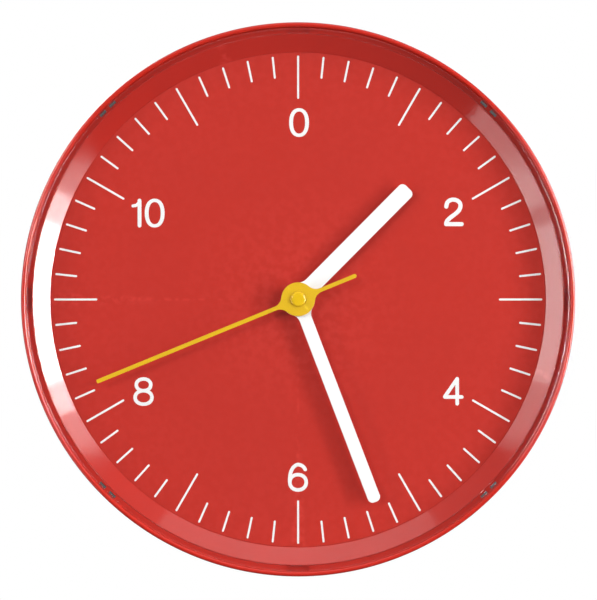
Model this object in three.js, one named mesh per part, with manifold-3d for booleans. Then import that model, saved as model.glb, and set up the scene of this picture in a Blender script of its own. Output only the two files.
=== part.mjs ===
// Round wall clock: a moulded case with a printed dial, a snap-in lens, three hands and a battery quartz
// movement behind the dial. Millimetres, +Z up. The hands turn about the Y axis, -Y faces the room and
// +Y faces the wall. The origin lies on the hand axis, at half the depth of the clock.
//
// Depths below are measured along +Y from the front edge of the case. The last group moves them into place.
import * as THREE from "three";
import { mergeVertices } from "three/addons/utils/BufferGeometryUtils.js";
import Module from "manifold-3d";

const wasm = await Module();
wasm.setup();

// ---------- Driving dimensions ----------

// Clearances
const GAP = 0.3;
const PRESS_GAP = 0.1;
const WHEEL_GAP = 0.5;

// Case and hanger
const CASE_DIAMETER = 265;
const CASE_WALL = 2.3;
const FLOOR_THICKNESS = 2;
const LEDGE_THICKNESS = 2;
const SLOPE_WIDTH = 8.3;
const SLOPE_HEIGHT = 5.5;
const REAR_SPACE = 0.8;
const SLOPE_REVEAL = 0.2;
const RIB_THICKNESS = 1.6;
const RIB_RING_RADIUS = 52;
const RIB_HEIGHT = 3.5;
const RIB_COUNT = 8;
const HANGER_WIDTH = 52;
const HANGER_HEIGHT = 28;
const HANGER_THICKNESS = 1.2;
const HANGER_EDGE_DISTANCE = 37.5;
const HANGER_SETBACK = 2.5;
const KEYHOLE_ENTRY_RADIUS = 5;
const KEYHOLE_SLOT_WIDTH = 5;
const KEYHOLE_SLOT_LENGTH = 10;
const BOSS_RADIUS = 3.6;
const SCREW_SPACING = 38;
const SCREW_RADIUS = 1.3;
const SCREW_LENGTH = 8;
const SCREW_HEAD_RADIUS = 2.8;
const SCREW_HEAD_HEIGHT = 1.9;

// Lens
const LIP_REACH = 0.5;
const LENS_THICKNESS = 1.8;
const LENS_SKIRT = 2.7;
const LENS_EDGE_ROUND = 1;
const CLIP_WIDTH = 3.2;
const CLIP_PITCH = 6.4;
const CLIP_THICKNESS = 1.4;
const CLIP_INSET = 0.05;
const CLIP_HOOK = 0.7;
const CLIP_HOOK_LENGTH = 1.5;
const TAB_WIDTH = 9.8;
const TAB_THICKNESS = 1.5;
const TAB_DEPTH = 0.7;

// Dial, nut and washers
const DIAL_THICKNESS = 1;
const BUSH_FLANGE_RIM = 1.5;
const BUSH_FLANGE = 0.7;
const NUT_RIM = 2;
const NUT_THICKNESS = 1.5;
const THREAD_STANDOUT = 0.2;
const WASHER_RIM = 3.5;
const WASHER_THICKNESS = 0.4;
const GASKET_RIM = 8;
const GASKET_THICKNESS = 1;

// Hands, with the time that they show in degrees clockwise from twelve
const HAND_THICKNESS = 0.5;
const HUB_RADIUS = 8.1;
const HUB_FILLET = 5;
const HOUR_REACH = 75.1;
const HOUR_WIDTH = 8.05;
const HOUR_ANGLE = 44.75;
const MINUTE_TIP_MARGIN = 14.6;
const MINUTE_WIDTH = 6.07;
const MINUTE_ANGLE = 159.07;
const SECOND_TIP_MARGIN = 14.3;
const SECOND_TAIL_REACH = 30.2;
const SECOND_WIDTH = 1.93;
const SECOND_ANGLE = 247.7;
const SECOND_THICKNESS = 0.4;
const TIP_CORNER = 2.4;
const CAP_RADIUS = 3.6;
const CAP_HEIGHT = 0.9;
const CAP_CLEARANCE = 1;
const SECOND_HAND_GAP = 1.3;
const MINUTE_HAND_GAP = 0.8;
const TUBE_STANDOUT = 0.3;

// Coaxial arbor, tubes and bush, each running inside the next
const ARBOR_RADIUS = 0.5;
const TUBE_CLEARANCE = 0.35;
const MINUTE_TUBE_WALL = 0.65;
const HOUR_TUBE_WALL = 0.65;
const BUSH_WALL = 1.15;

// Teeth of each wheel and of the pinion that it meshes with, and the module that the two share
const CENTRE_TEETH = 64;
const THIRD_PINION_TEETH = 8;
const CENTRE_MODULE = 0.34;
const THIRD_TEETH = 60;
const SECOND_PINION_TEETH = 8;
const SECOND_TEETH = 40;
const INTERMEDIATE_PINION_TEETH = 8;
const INTERMEDIATE_TEETH = 48;
const ROTOR_PINION_TEETH = 8;
const ROTOR_MODULE = 0.3;
const CANNON_PINION_TEETH = 10;
const MINUTE_TEETH = 30;
const MINUTE_MODULE = 0.45;
const MINUTE_PINION_TEETH = 8;
const HOUR_TEETH = 32;
const KNOB_PINION_TEETH = 10;
const ARBOR_CLEARANCE = 0.828;
const ADDENDUM = 0.8;
const DEDENDUM = 1.15;
const TOOTH_ROOT_SHARE = 0.5;
const TOOTH_TIP_SHARE = 0.2;
const WHEEL_THICKNESS = 0.8;
const PINION_OVERHANG = 0.1;
const PIVOT_RADIUS = 0.5;
const PIVOT_CLEARANCE = 0.3;
const PIVOT_INSET = 0.2;
const SOCKET_DEPTH = 1;

// Directions between the axes of the train, in degrees from +X towards +Z
const THIRD_DIRECTION = 170;
const INTERMEDIATE_DIRECTION = 20;
const ROTOR_DIRECTION = -45;
const MINUTE_WHEEL_DIRECTION = 235;
const KNOB_DIRECTION = 215;

// Movement housing
const HOUSING_WALL = 1.5;
const HOUSING_CORNER = 3;
const PARTITION = 1.2;
const COVER_THICKNESS = 1.2;
const BOARD_SPACE = 1.3;
const PLATE_THICKNESS = 0.8;
const PLATE_INSET = 1;
const PILLAR_SPACE = 3.3;
const PILLAR_RADII = [2.2, 1.6, 0.8];
const FINGER_NOTCH_WIDTH = 18;

// Motor, circuit and battery
const MAGNET_RADIUS = 3;
const MAGNET_BORE = 0.8;
const MAGNET_LENGTH = 2.7;
const STATOR_GAP = 0.5;
const STATOR_LEG = 3;
const STATOR_RIM = 1.3;
const COIL_FLANGE_RADIUS = 2.6;
const COIL_FLANGE = 0.6;
const COIL_WINDING_RADIUS = 2.4;
const COIL_TUBE_RADII = [1.35, 1.7];
const COIL_LENGTH = 15;
const COIL_MARGIN = 1.25;
const COIL_FLOOR_SPACE = 2.4;
const CORE_WIDTH = 2;
const BOARD_THICKNESS = 0.8;
const BOARD_LEFT = 8;
const BOARD_POST_RADIUS = 0.9;
const BOARD_POST_PLACES = [0, 14];
const CRYSTAL_RADIUS = 1.2;
const CRYSTAL_LENGTH = 8;
const CHIP_SIZE = 4;
const CHIP_THICKNESS = 1;
const BATTERY_RADIUS = 7.25;
const BATTERY_LENGTH = 50;
const BATTERY_NUB_RADIUS = 2.75;
const BATTERY_NUB_LENGTH = 1;
const CONTACT_SPACE = 1.5;
const CONTACT_THICKNESS = 0.4;
const CONTACT_WIDTH = 7;
const CONTACT_TAB = 1;
const KNOB_RADIUS = 4.5;
const KNOB_THICKNESS = 1.3;
const KNOB_SHAFT_RADIUS = 1.5;

// How far joined pieces reach into each other, and cuts run past a face
const ROOTED = 0.5;
const PAST = 1;

// Facets round a circle
const ROUND = 96;
const SMALL_ROUND = 24;
const PIN_ROUND = 12;

// ---------- Depths, front to back ----------

const lensFront = LIP_REACH;
const lensBack = lensFront + LENS_THICKNESS;
const capFront = lensBack + CAP_CLEARANCE;
const capBack = capFront + CAP_HEIGHT;
const secondHandFront = capBack + GAP;
const secondHandBack = secondHandFront + SECOND_THICKNESS;
const minuteHandFront = secondHandBack + SECOND_HAND_GAP;
const minuteHandBack = minuteHandFront + HAND_THICKNESS;
const minuteTubeFront = minuteHandFront - TUBE_STANDOUT;
const hourHandFront = minuteHandBack + MINUTE_HAND_GAP;
const hourHandBack = hourHandFront + HAND_THICKNESS;
const hourTubeFront = hourHandFront - TUBE_STANDOUT;
const bushFront = hourHandBack + GAP;
const nutFront = bushFront + THREAD_STANDOUT;
const nutBack = nutFront + NUT_THICKNESS;
const washerFront = nutBack + GAP;
const washerBack = washerFront + WASHER_THICKNESS;
const dialFront = washerBack + GAP;
const dialBack = dialFront + DIAL_THICKNESS;
const ledgeFront = dialFront - SLOPE_HEIGHT;
const ledgeBack = ledgeFront + LEDGE_THICKNESS;
const skirtBack = ledgeFront - GAP;
const floorFront = dialBack + GAP;
const floorBack = floorFront + FLOOR_THICKNESS;
const gasketFront = floorBack + GAP;
const gasketBack = gasketFront + GASKET_THICKNESS;
const housingFront = gasketBack + GAP;
const housingInside = housingFront + HOUSING_WALL;
const flangeFront = housingInside + GAP;
const flangeBack = flangeFront + BUSH_FLANGE;
const hourWheelFront = flangeBack + GAP;
const hourWheelBack = hourWheelFront + WHEEL_THICKNESS;
const minuteWheelFront = hourWheelBack + WHEEL_GAP;
const minuteWheelBack = minuteWheelFront + WHEEL_THICKNESS;
const plateFront = minuteWheelBack + WHEEL_GAP;
const plateBack = plateFront + PLATE_THICKNESS;
const centreWheelFront = plateBack + WHEEL_GAP;
const centreWheelBack = centreWheelFront + WHEEL_THICKNESS;
const thirdWheelFront = centreWheelBack + WHEEL_GAP;
const thirdWheelBack = thirdWheelFront + WHEEL_THICKNESS;
const secondWheelFront = thirdWheelBack + WHEEL_GAP;
const secondWheelBack = secondWheelFront + WHEEL_THICKNESS;
const intermediateWheelFront = secondWheelBack + WHEEL_GAP;
const intermediateWheelBack = intermediateWheelFront + WHEEL_THICKNESS;
const bridgeFront = intermediateWheelBack + WHEEL_GAP;
const bridgeBack = bridgeFront + PLATE_THICKNESS;
const coverFront = bridgeBack + BOARD_SPACE;
const coverBack = coverFront + COVER_THICKNESS;
const knobFront = coverBack + GAP;
const knobBack = knobFront + KNOB_THICKNESS;
const batteryFront = housingInside + GAP;
const batteryBack = batteryFront + 2 * BATTERY_RADIUS;
const caseDepth = Math.max(knobBack, batteryBack) + REAR_SPACE;
const hangerBack = caseDepth - HANGER_SETBACK;
const hangerFront = hangerBack - HANGER_THICKNESS;
const bossBack = hangerFront - GAP;
const statorFront = thirdWheelFront;
const statorBack = statorFront + PLATE_THICKNESS;
const coreFront = statorBack + GAP;
const coreMiddle = coreFront + PLATE_THICKNESS / 2;
const boardFront = coreMiddle + COIL_FLANGE_RADIUS + GAP;
const boardBack = boardFront + BOARD_THICKNESS;
const contactTabBack = boardFront - GAP;
const pivotFront = plateFront + PIVOT_INSET;
const pivotBack = bridgeBack - PIVOT_INSET;
const socketFront = housingInside - SOCKET_DEPTH;
const batteryAxisDepth = batteryFront + BATTERY_RADIUS;

// ---------- Radii about the hand axis ----------

const minuteTubeInner = ARBOR_RADIUS + TUBE_CLEARANCE;
const minuteTubeOuter = minuteTubeInner + MINUTE_TUBE_WALL;
const hourTubeInner = minuteTubeOuter + TUBE_CLEARANCE;
const hourTubeOuter = hourTubeInner + HOUR_TUBE_WALL;
const bushBore = hourTubeOuter + TUBE_CLEARANCE;
const bushRadius = bushBore + BUSH_WALL;
const caseRadius = CASE_DIAMETER / 2;
const lipInner = caseRadius - CASE_WALL;
const lensRadius = lipInner - GAP;
const skirtInner = lensRadius - LENS_SKIRT;
const slopeTop = skirtInner - SLOPE_REVEAL;
const slopeFoot = slopeTop - SLOPE_WIDTH;
const dialRadius = slopeFoot - GAP;
const bushHole = bushRadius + GAP;
const minuteReach = dialRadius - MINUTE_TIP_MARGIN;
const secondReach = dialRadius - SECOND_TIP_MARGIN;

// ---------- Gear sizes and axis places, as (x, z) ----------

const pitchRadius = (gear) => (gear.module * gear.teeth) / 2;
const tipRadius = (gear) => pitchRadius(gear) + ADDENDUM * gear.module;

// The third wheel and the minute wheel each mesh twice with gears on the hand axis, so the two pairs have
// one centre distance, which sets the module of the second pair. The intermediate wheel's arbor passes the
// centre wheel, which sets the module that the second wheel drives it with.
const thirdModule = CENTRE_MODULE * (CENTRE_TEETH + THIRD_PINION_TEETH)
  / (THIRD_TEETH + SECOND_PINION_TEETH);
const hourModule = MINUTE_MODULE * (CANNON_PINION_TEETH + MINUTE_TEETH)
  / (MINUTE_PINION_TEETH + HOUR_TEETH);
const centreWheelGear = { teeth: CENTRE_TEETH, module: CENTRE_MODULE };
const secondModule = 2 * (tipRadius(centreWheelGear) + ARBOR_CLEARANCE + PIVOT_RADIUS)
  / (SECOND_TEETH + INTERMEDIATE_PINION_TEETH);
const thirdPinionGear = { teeth: THIRD_PINION_TEETH, module: CENTRE_MODULE };
const thirdWheelGear = { teeth: THIRD_TEETH, module: thirdModule };
const secondPinionGear = { teeth: SECOND_PINION_TEETH, module: thirdModule };
const secondWheelGear = { teeth: SECOND_TEETH, module: secondModule };
const intermediatePinionGear = { teeth: INTERMEDIATE_PINION_TEETH, module: secondModule };
const intermediateWheelGear = { teeth: INTERMEDIATE_TEETH, module: ROTOR_MODULE };
const rotorPinionGear = { teeth: ROTOR_PINION_TEETH, module: ROTOR_MODULE };
const cannonPinionGear = { teeth: CANNON_PINION_TEETH, module: MINUTE_MODULE };
const minuteWheelGear = { teeth: MINUTE_TEETH, module: MINUTE_MODULE };
const minutePinionGear = { teeth: MINUTE_PINION_TEETH, module: hourModule };
const hourWheelGear = { teeth: HOUR_TEETH, module: hourModule };
const knobPinionGear = { teeth: KNOB_PINION_TEETH, module: MINUTE_MODULE };

const radians = THREE.MathUtils.degToRad;

function polar(radius, degrees) {
  return new THREE.Vector2(radius, 0).rotateAround(new THREE.Vector2(), radians(degrees));
}

// The axis of a gear that meshes with another, in a given direction from it.
function meshedAxis(from, gear, mate, degrees) {
  return polar(pitchRadius(gear) + pitchRadius(mate), degrees).add(from);
}

const handAxis = new THREE.Vector2(0, 0);
const thirdAxis = meshedAxis(handAxis, centreWheelGear, thirdPinionGear, THIRD_DIRECTION);
const intermediateAxis = meshedAxis(
  handAxis, secondWheelGear, intermediatePinionGear, INTERMEDIATE_DIRECTION,
);
const rotorAxis = meshedAxis(intermediateAxis, intermediateWheelGear, rotorPinionGear, ROTOR_DIRECTION);
const minuteWheelAxis = meshedAxis(handAxis, cannonPinionGear, minuteWheelGear, MINUTE_WHEEL_DIRECTION);
const knobAxis = meshedAxis(minuteWheelAxis, minuteWheelGear, knobPinionGear, KNOB_DIRECTION);

// ---------- Inside and outside of the movement, as x and z ----------

const trainLeft = tipRadius(thirdWheelGear) - thirdAxis.x;
const poleHalf = MAGNET_RADIUS + STATOR_GAP + STATOR_RIM;
const trainRight = rotorAxis.x + poleHalf;
const trainHalfWidth = Math.max(trainLeft, trainRight) + PILLAR_SPACE;
const insideHalfWidth = Math.max(BATTERY_LENGTH / 2 + CONTACT_SPACE, trainHalfWidth);
const insideTop = thirdAxis.y + tipRadius(thirdWheelGear) + PILLAR_SPACE;
const coilZ = -(tipRadius(centreWheelGear) + COIL_MARGIN + COIL_FLANGE_RADIUS);
const insideBottom = coilZ - COIL_FLANGE_RADIUS - COIL_FLOOR_SPACE;
const batteryTop = insideBottom - PARTITION;
const batteryZ = batteryTop - GAP - BATTERY_RADIUS;
const batteryBottom = batteryZ - BATTERY_RADIUS - GAP;
const housingHalfWidth = insideHalfWidth + HOUSING_WALL;
const housingTop = insideTop + HOUSING_WALL;
const housingBottom = batteryBottom - HOUSING_WALL;

// ---------- Shape tools ----------

const MERGE_TOLERANCE = 1e-4;

// A closed geometry as a solid that can be joined and cut.
function solidOf(geometry) {
  const bare = geometry.clone();
  bare.deleteAttribute("normal");
  bare.deleteAttribute("uv");
  const merged = mergeVertices(bare, MERGE_TOLERANCE);
  const corners = merged.index.array;
  const kept = [];
  for (let i = 0; i < corners.length; i += 3) {
    const [a, b, c] = corners.slice(i, i + 3);
    if (a !== b && b !== c && c !== a) kept.push(a, b, c);
  }
  return new wasm.Manifold(new wasm.Mesh({
    numProp: 3,
    vertProperties: merged.attributes.position.array,
    triVerts: new Uint32Array(kept),
  }));
}

function geometryOf(solid) {
  const mesh = solid.getMesh();
  const geometry = new THREE.BufferGeometry();
  geometry.setAttribute("position", new THREE.BufferAttribute(mesh.vertProperties, 3));
  geometry.setIndex(new THREE.BufferAttribute(mesh.triVerts, 1));
  const flat = geometry.toNonIndexed();
  flat.computeVertexNormals();
  return flat;
}

function join(...geometries) {
  return geometryOf(geometries.map(solidOf).reduce((whole, piece) => whole.add(piece)));
}

function cut(geometry, ...tools) {
  return geometryOf(tools.map(solidOf).reduce((whole, tool) => whole.subtract(tool), solidOf(geometry)));
}

// A closed profile of [radius, depth] corners, turned about the hand axis.
function turned(profile, facets = ROUND) {
  const points = profile.map(([radius, depth]) => new THREE.Vector2(radius, depth));
  return new THREE.LatheGeometry([...points, points[0]], facets);
}

function ring(inner, outer, front, back, facets = SMALL_ROUND) {
  return turned([[inner, front], [outer, front], [outer, back], [inner, back]], facets);
}

function rod(radius, front, back, place = handAxis, facets = SMALL_ROUND) {
  const geometry = new THREE.CylinderGeometry(radius, radius, back - front, facets);
  return geometry.translate(place.x, (front + back) / 2, place.y);
}

function block(left, right, bottom, top, front, back) {
  const geometry = new THREE.BoxGeometry(right - left, back - front, top - bottom);
  return geometry.translate((left + right) / 2, (front + back) / 2, (bottom + top) / 2);
}

// An outline drawn as seen from the front, given a thickness from front to back.
function plate(outline, front, back, curveSegments = 8) {
  const depth = back - front;
  const geometry = new THREE.ExtrudeGeometry(outline, { depth, bevelEnabled: false, curveSegments });
  return geometry.rotateX(Math.PI / 2).translate(0, back, 0);
}

function circle(radius, place = handAxis) {
  return new THREE.Path().absarc(place.x, place.y, radius, 0, 2 * Math.PI, false);
}

function roundedRectangle(left, right, bottom, top, corner) {
  const outline = new THREE.Shape();
  outline.absarc(right - corner, top - corner, corner, 0, Math.PI / 2, false);
  outline.absarc(left + corner, top - corner, corner, Math.PI / 2, Math.PI, false);
  outline.absarc(left + corner, bottom + corner, corner, Math.PI, 1.5 * Math.PI, false);
  outline.absarc(right - corner, bottom + corner, corner, 1.5 * Math.PI, 2 * Math.PI, false);
  outline.closePath();
  return outline;
}

// A copy of a geometry for each angle, turned about the hand axis.
function around(geometry, count, firstDegrees) {
  return Array.from({ length: count }, (_, i) => {
    return geometry.clone().rotateY(radians(firstDegrees + (i * 360) / count));
  });
}

const clock = new THREE.Group();

function addPart(name, geometry, color, roughness, metalness) {
  const mesh = new THREE.Mesh(geometry, new THREE.MeshStandardMaterial({ color, roughness, metalness }));
  mesh.name = name;
  clock.add(mesh);
  return mesh;
}

const RED = 0xc8362b;
const WHITE = 0xffffff;
const YELLOW = 0xe6c200;
const BLACK = 0x1c1c1e;
const BRASS = 0xc9a24a;
const STEEL = 0xa9acb0;
const COPPER = 0xb4642d;
const CELL_GREY = 0x8f9398;
const BOARD_GREEN = 0x2f6b3c;
const NATURAL_PLASTIC = 0xe9e5d8;

// ---------- Case ----------

// The case is one moulding: lip and outer wall, ledge for the lens, slope down to the dial, and floor.
const slopeBackNormal = new THREE.Vector2(SLOPE_HEIGHT, SLOPE_WIDTH).setLength(FLOOR_THICKNESS);

// Radius of the hidden side of the slope at a given depth.
function slopeBackRadius(depth) {
  const run = (dialFront + slopeBackNormal.y - depth) / SLOPE_HEIGHT;
  return slopeFoot + slopeBackNormal.x + run * SLOPE_WIDTH;
}

const noseRadius = CASE_WALL / 2;
const nose = [180, 225, 270, 315, 360].map((degrees) => [
  lipInner + noseRadius + noseRadius * Math.cos(radians(degrees)),
  noseRadius + noseRadius * Math.sin(radians(degrees)),
]);
const caseBody = turned([
  [bushHole, floorFront],
  [slopeFoot, floorFront],
  [slopeFoot, dialFront],
  [slopeTop, ledgeFront],
  [lipInner, ledgeFront],
  ...nose,
  [caseRadius, caseDepth],
  [lipInner, caseDepth],
  [lipInner, ledgeBack],
  [slopeBackRadius(ledgeBack), ledgeBack],
  [slopeBackRadius(floorBack), floorBack],
  [bushHole, floorBack],
]);

const ribSide = new THREE.Shape([
  new THREE.Vector2(RIB_RING_RADIUS, floorBack - ROOTED),
  new THREE.Vector2(slopeBackRadius(floorBack), floorBack - ROOTED),
  new THREE.Vector2(slopeBackRadius(ledgeBack), ledgeBack - ROOTED),
  new THREE.Vector2(lipInner + ROOTED, ledgeBack - ROOTED),
  new THREE.Vector2(lipInner + ROOTED, floorBack + RIB_HEIGHT),
  new THREE.Vector2(RIB_RING_RADIUS, floorBack + RIB_HEIGHT),
]);
const rib = new THREE.ExtrudeGeometry(ribSide, { depth: RIB_THICKNESS, bevelEnabled: false })
  .translate(0, 0, -RIB_THICKNESS / 2);
const ribRing = ring(
  RIB_RING_RADIUS, RIB_RING_RADIUS + RIB_THICKNESS, floorBack - ROOTED, floorBack + RIB_HEIGHT, ROUND,
);

const frameInner = roundedRectangle(
  -housingHalfWidth - GAP, housingHalfWidth + GAP, housingBottom - GAP, housingTop + GAP, HOUSING_CORNER,
);
const frameOutline = roundedRectangle(
  -housingHalfWidth - GAP - RIB_THICKNESS, housingHalfWidth + GAP + RIB_THICKNESS,
  housingBottom - GAP - RIB_THICKNESS, housingTop + GAP + RIB_THICKNESS, HOUSING_CORNER + RIB_THICKNESS,
);
frameOutline.holes.push(new THREE.Path(frameInner.getPoints(4)));
const movementFrame = plate(frameOutline, floorBack - ROOTED, floorBack + RIB_HEIGHT, 4);

const hangerZ = caseRadius - HANGER_EDGE_DISTANCE;
const screwPlaces = [-1, 1].map((side) => new THREE.Vector2((side * SCREW_SPACING) / 2, hangerZ));
const bosses = screwPlaces.map((place) => rod(BOSS_RADIUS, floorBack - ROOTED, bossBack, place));
const screwHoles = screwPlaces.map((place) => {
  return rod(SCREW_RADIUS + GAP, hangerBack - SCREW_LENGTH - GAP, bossBack + PAST, place, PIN_ROUND);
});

// Two clips side by side at each of four places hold the lens, and a tab between each pair locates it.
const clipOuter = lensRadius - CLIP_INSET;
const clipInner = clipOuter - CLIP_THICKNESS;
const clipCentres = [-CLIP_PITCH / 2, CLIP_PITCH / 2];
const clipSlots = clipCentres.flatMap((centre) => around(block(
  clipInner - GAP, lipInner + GAP, centre - CLIP_WIDTH / 2 - GAP, centre + CLIP_WIDTH / 2 + GAP,
  ledgeFront - GAP, ledgeBack + GAP,
), 4, 45));
const tabInner = (skirtInner + lensRadius - TAB_THICKNESS) / 2;
const tabPockets = around(block(
  tabInner - GAP, tabInner + TAB_THICKNESS + GAP, -TAB_WIDTH / 2 - GAP, TAB_WIDTH / 2 + GAP,
  ledgeFront - GAP, ledgeFront + TAB_DEPTH + GAP,
), 4, 0);

addPart("case_shell", cut(
  join(caseBody, ...around(rib, RIB_COUNT, 180 / RIB_COUNT), ribRing, movementFrame, ...bosses),
  ...screwHoles, ...clipSlots, ...tabPockets,
), RED, 0.25, 0);

// ---------- Hanger ----------

const hangerOutline = roundedRectangle(
  -HANGER_WIDTH / 2, HANGER_WIDTH / 2,
  hangerZ - HANGER_HEIGHT / 2, hangerZ + HANGER_HEIGHT / 2, HOUSING_CORNER,
);
const entryZ = hangerZ - KEYHOLE_SLOT_LENGTH / 2;
const slotZ = entryZ + KEYHOLE_SLOT_LENGTH;
const slotHalf = KEYHOLE_SLOT_WIDTH / 2;
const slotAngle = Math.acos(slotHalf / KEYHOLE_ENTRY_RADIUS);
const keyhole = new THREE.Path();
keyhole.absarc(0, slotZ, slotHalf, 0, Math.PI, false);
keyhole.absarc(0, entryZ, KEYHOLE_ENTRY_RADIUS, Math.PI - slotAngle, 2 * Math.PI + slotAngle, false);
keyhole.closePath();
hangerOutline.holes.push(keyhole, ...screwPlaces.map((place) => circle(SCREW_RADIUS + GAP, place)));
addPart("hanger_plate", plate(hangerOutline, hangerFront, hangerBack, 8), STEEL, 0.35, 1);

["left", "right"].forEach((side, i) => {
  const place = screwPlaces[i];
  const headFront = hangerBack + GAP;
  const shank = rod(SCREW_RADIUS, hangerBack - SCREW_LENGTH, headFront + ROOTED, place, PIN_ROUND);
  const head = rod(SCREW_HEAD_RADIUS, headFront, headFront + SCREW_HEAD_HEIGHT, place);
  addPart("hanger_screw_" + side, join(shank, head), STEEL, 0.3, 1);
});

// ---------- Lens and dial ----------

const lensBody = turned([
  [0, lensFront],
  [lensRadius - LENS_EDGE_ROUND, lensFront],
  [lensRadius, lensFront + LENS_EDGE_ROUND],
  [lensRadius, skirtBack],
  [skirtInner, skirtBack],
  [skirtInner, lensBack],
  [0, lensBack],
]);
const hookFront = ledgeBack + GAP;
const hookBack = hookFront + CLIP_HOOK_LENGTH;
const clipSide = new THREE.Shape([
  new THREE.Vector2(clipInner, skirtBack - ROOTED),
  new THREE.Vector2(clipOuter, skirtBack - ROOTED),
  new THREE.Vector2(clipOuter, hookBack),
  new THREE.Vector2(clipInner, hookBack),
  new THREE.Vector2(clipInner - CLIP_HOOK, hookFront + GAP),
  new THREE.Vector2(clipInner - CLIP_HOOK, hookFront),
  new THREE.Vector2(clipInner, hookFront),
]);
const clips = clipCentres.flatMap((centre) => around(
  new THREE.ExtrudeGeometry(clipSide, { depth: CLIP_WIDTH, bevelEnabled: false })
    .translate(0, 0, centre - CLIP_WIDTH / 2),
  4, 45,
));
const tabs = around(block(
  tabInner, tabInner + TAB_THICKNESS, -TAB_WIDTH / 2, TAB_WIDTH / 2,
  skirtBack - ROOTED, ledgeFront + TAB_DEPTH,
), 4, 0);
const lens = addPart("lens", join(lensBody, ...clips, ...tabs), WHITE, 0.03, 0);
lens.material.transparent = true;
lens.material.opacity = 0.25;

addPart("dial", ring(bushHole, dialRadius, dialFront, dialBack, ROUND), RED, 0.6, 0);

// ---------- Hands ----------

// A flat hand pointing to twelve: a straight bar on a round hub, with a fillet on each side of each bar.
// The tail bar is left out where its reach is nothing.
function handOutline(halfWidth, reach, corner, tailReach, bore) {
  const along = Math.sqrt((HUB_RADIUS + HUB_FILLET) ** 2 - (halfWidth + HUB_FILLET) ** 2);
  const across = halfWidth + HUB_FILLET;
  const lean = Math.atan2(along, across);
  const outline = new THREE.Shape();
  outline.absarc(across, along, HUB_FILLET, Math.PI + lean, Math.PI, true);
  outline.absarc(halfWidth - corner, reach - corner, corner, 0, Math.PI / 2, false);
  outline.absarc(corner - halfWidth, reach - corner, corner, Math.PI / 2, Math.PI, false);
  outline.absarc(-across, along, HUB_FILLET, 0, -lean, true);
  if (tailReach > 0) {
    outline.absarc(0, 0, HUB_RADIUS, Math.PI - lean, Math.PI + lean, false);
    outline.absarc(-across, -along, HUB_FILLET, lean, 0, true);
    outline.absarc(0, halfWidth - tailReach, halfWidth, Math.PI, 2 * Math.PI, false);
    outline.absarc(across, -along, HUB_FILLET, Math.PI, Math.PI - lean, true);
    outline.absarc(0, 0, HUB_RADIUS, -lean, lean, false);
  } else {
    outline.absarc(0, 0, HUB_RADIUS, Math.PI - lean, 2 * Math.PI + lean, false);
  }
  outline.closePath();
  outline.holes.push(circle(bore));
  return outline;
}

const hourOutline = handOutline(HOUR_WIDTH / 2, HOUR_REACH, TIP_CORNER, 0, hourTubeOuter + PRESS_GAP);
const hourShape = plate(hourOutline, hourHandFront, hourHandBack);
const hourHand = addPart("hour_hand", hourShape, WHITE, 0.5, 0);
hourHand.rotation.y = radians(HOUR_ANGLE);

const minuteOutline = handOutline(
  MINUTE_WIDTH / 2, minuteReach, TIP_CORNER, 0, minuteTubeOuter + PRESS_GAP,
);
const minuteShape = plate(minuteOutline, minuteHandFront, minuteHandBack);
const minuteHand = addPart("minute_hand", minuteShape, WHITE, 0.5, 0);
minuteHand.rotation.y = radians(MINUTE_ANGLE);

const secondCorner = SECOND_WIDTH / 4;
const secondOutline = handOutline(
  SECOND_WIDTH / 2, secondReach, secondCorner, SECOND_TAIL_REACH, ARBOR_RADIUS + PRESS_GAP,
);
const secondShape = plate(secondOutline, secondHandFront, secondHandBack);
const secondHand = addPart("second_hand", secondShape, YELLOW, 0.45, 0);
secondHand.rotation.y = radians(SECOND_ANGLE);

const capCrown = CAP_HEIGHT / 3;
addPart("second_hand_cap", turned([
  [0, capFront],
  [CAP_RADIUS - capCrown * 2, capFront],
  [CAP_RADIUS, capFront + capCrown],
  [CAP_RADIUS, capBack],
  [0, capBack],
], SMALL_ROUND), YELLOW, 0.3, 0);

// ---------- Nut, washers and bush ----------

const nutOutline = new THREE.Shape(Array.from({ length: 6 }, (_, i) => {
  return polar((2 * (bushRadius + NUT_RIM)) / Math.sqrt(3), 30 + 60 * i);
}));
nutOutline.holes.push(circle(bushHole));
addPart("hex_nut", plate(nutOutline, nutFront, nutBack), BRASS, 0.35, 1);
addPart("nut_washer", ring(bushHole, bushRadius + WASHER_RIM, washerFront, washerBack), BRASS, 0.35, 1);
addPart("rubber_gasket", ring(bushHole, bushRadius + GASKET_RIM, gasketFront, gasketBack), BLACK, 0.9, 0);
addPart("threaded_bush", turned([
  [bushBore, bushFront],
  [bushRadius, bushFront],
  [bushRadius, flangeFront],
  [bushRadius + BUSH_FLANGE_RIM, flangeFront],
  [bushRadius + BUSH_FLANGE_RIM, flangeBack],
  [bushBore, flangeBack],
], SMALL_ROUND), BRASS, 0.35, 1);

// ---------- Movement housing and plates ----------

const pillarInset = PILLAR_SPACE - GAP;
const pillarPlaces = [
  new THREE.Vector2(-insideHalfWidth + pillarInset, insideTop - pillarInset),
  new THREE.Vector2(insideHalfWidth - pillarInset, insideTop - pillarInset),
  new THREE.Vector2(-insideHalfWidth + pillarInset, knobAxis.y + KNOB_SHAFT_RADIUS + pillarInset),
  new THREE.Vector2(insideHalfWidth - pillarInset, intermediateAxis.y),
];
const [shoulder, post, pin] = PILLAR_RADII;

// Each pillar steps down twice: the middle plate rests on the first step and the bridge on the second.
const pillars = pillarPlaces.map((place) => turned([
  [0, housingInside - ROOTED],
  [shoulder, housingInside - ROOTED],
  [shoulder, plateFront - GAP],
  [post, plateFront - GAP],
  [post, bridgeFront - GAP],
  [pin, bridgeFront - GAP],
  [pin, bridgeBack + GAP],
  [0, bridgeBack + GAP],
], PIN_ROUND).translate(place.x, 0, place.y));

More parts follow.
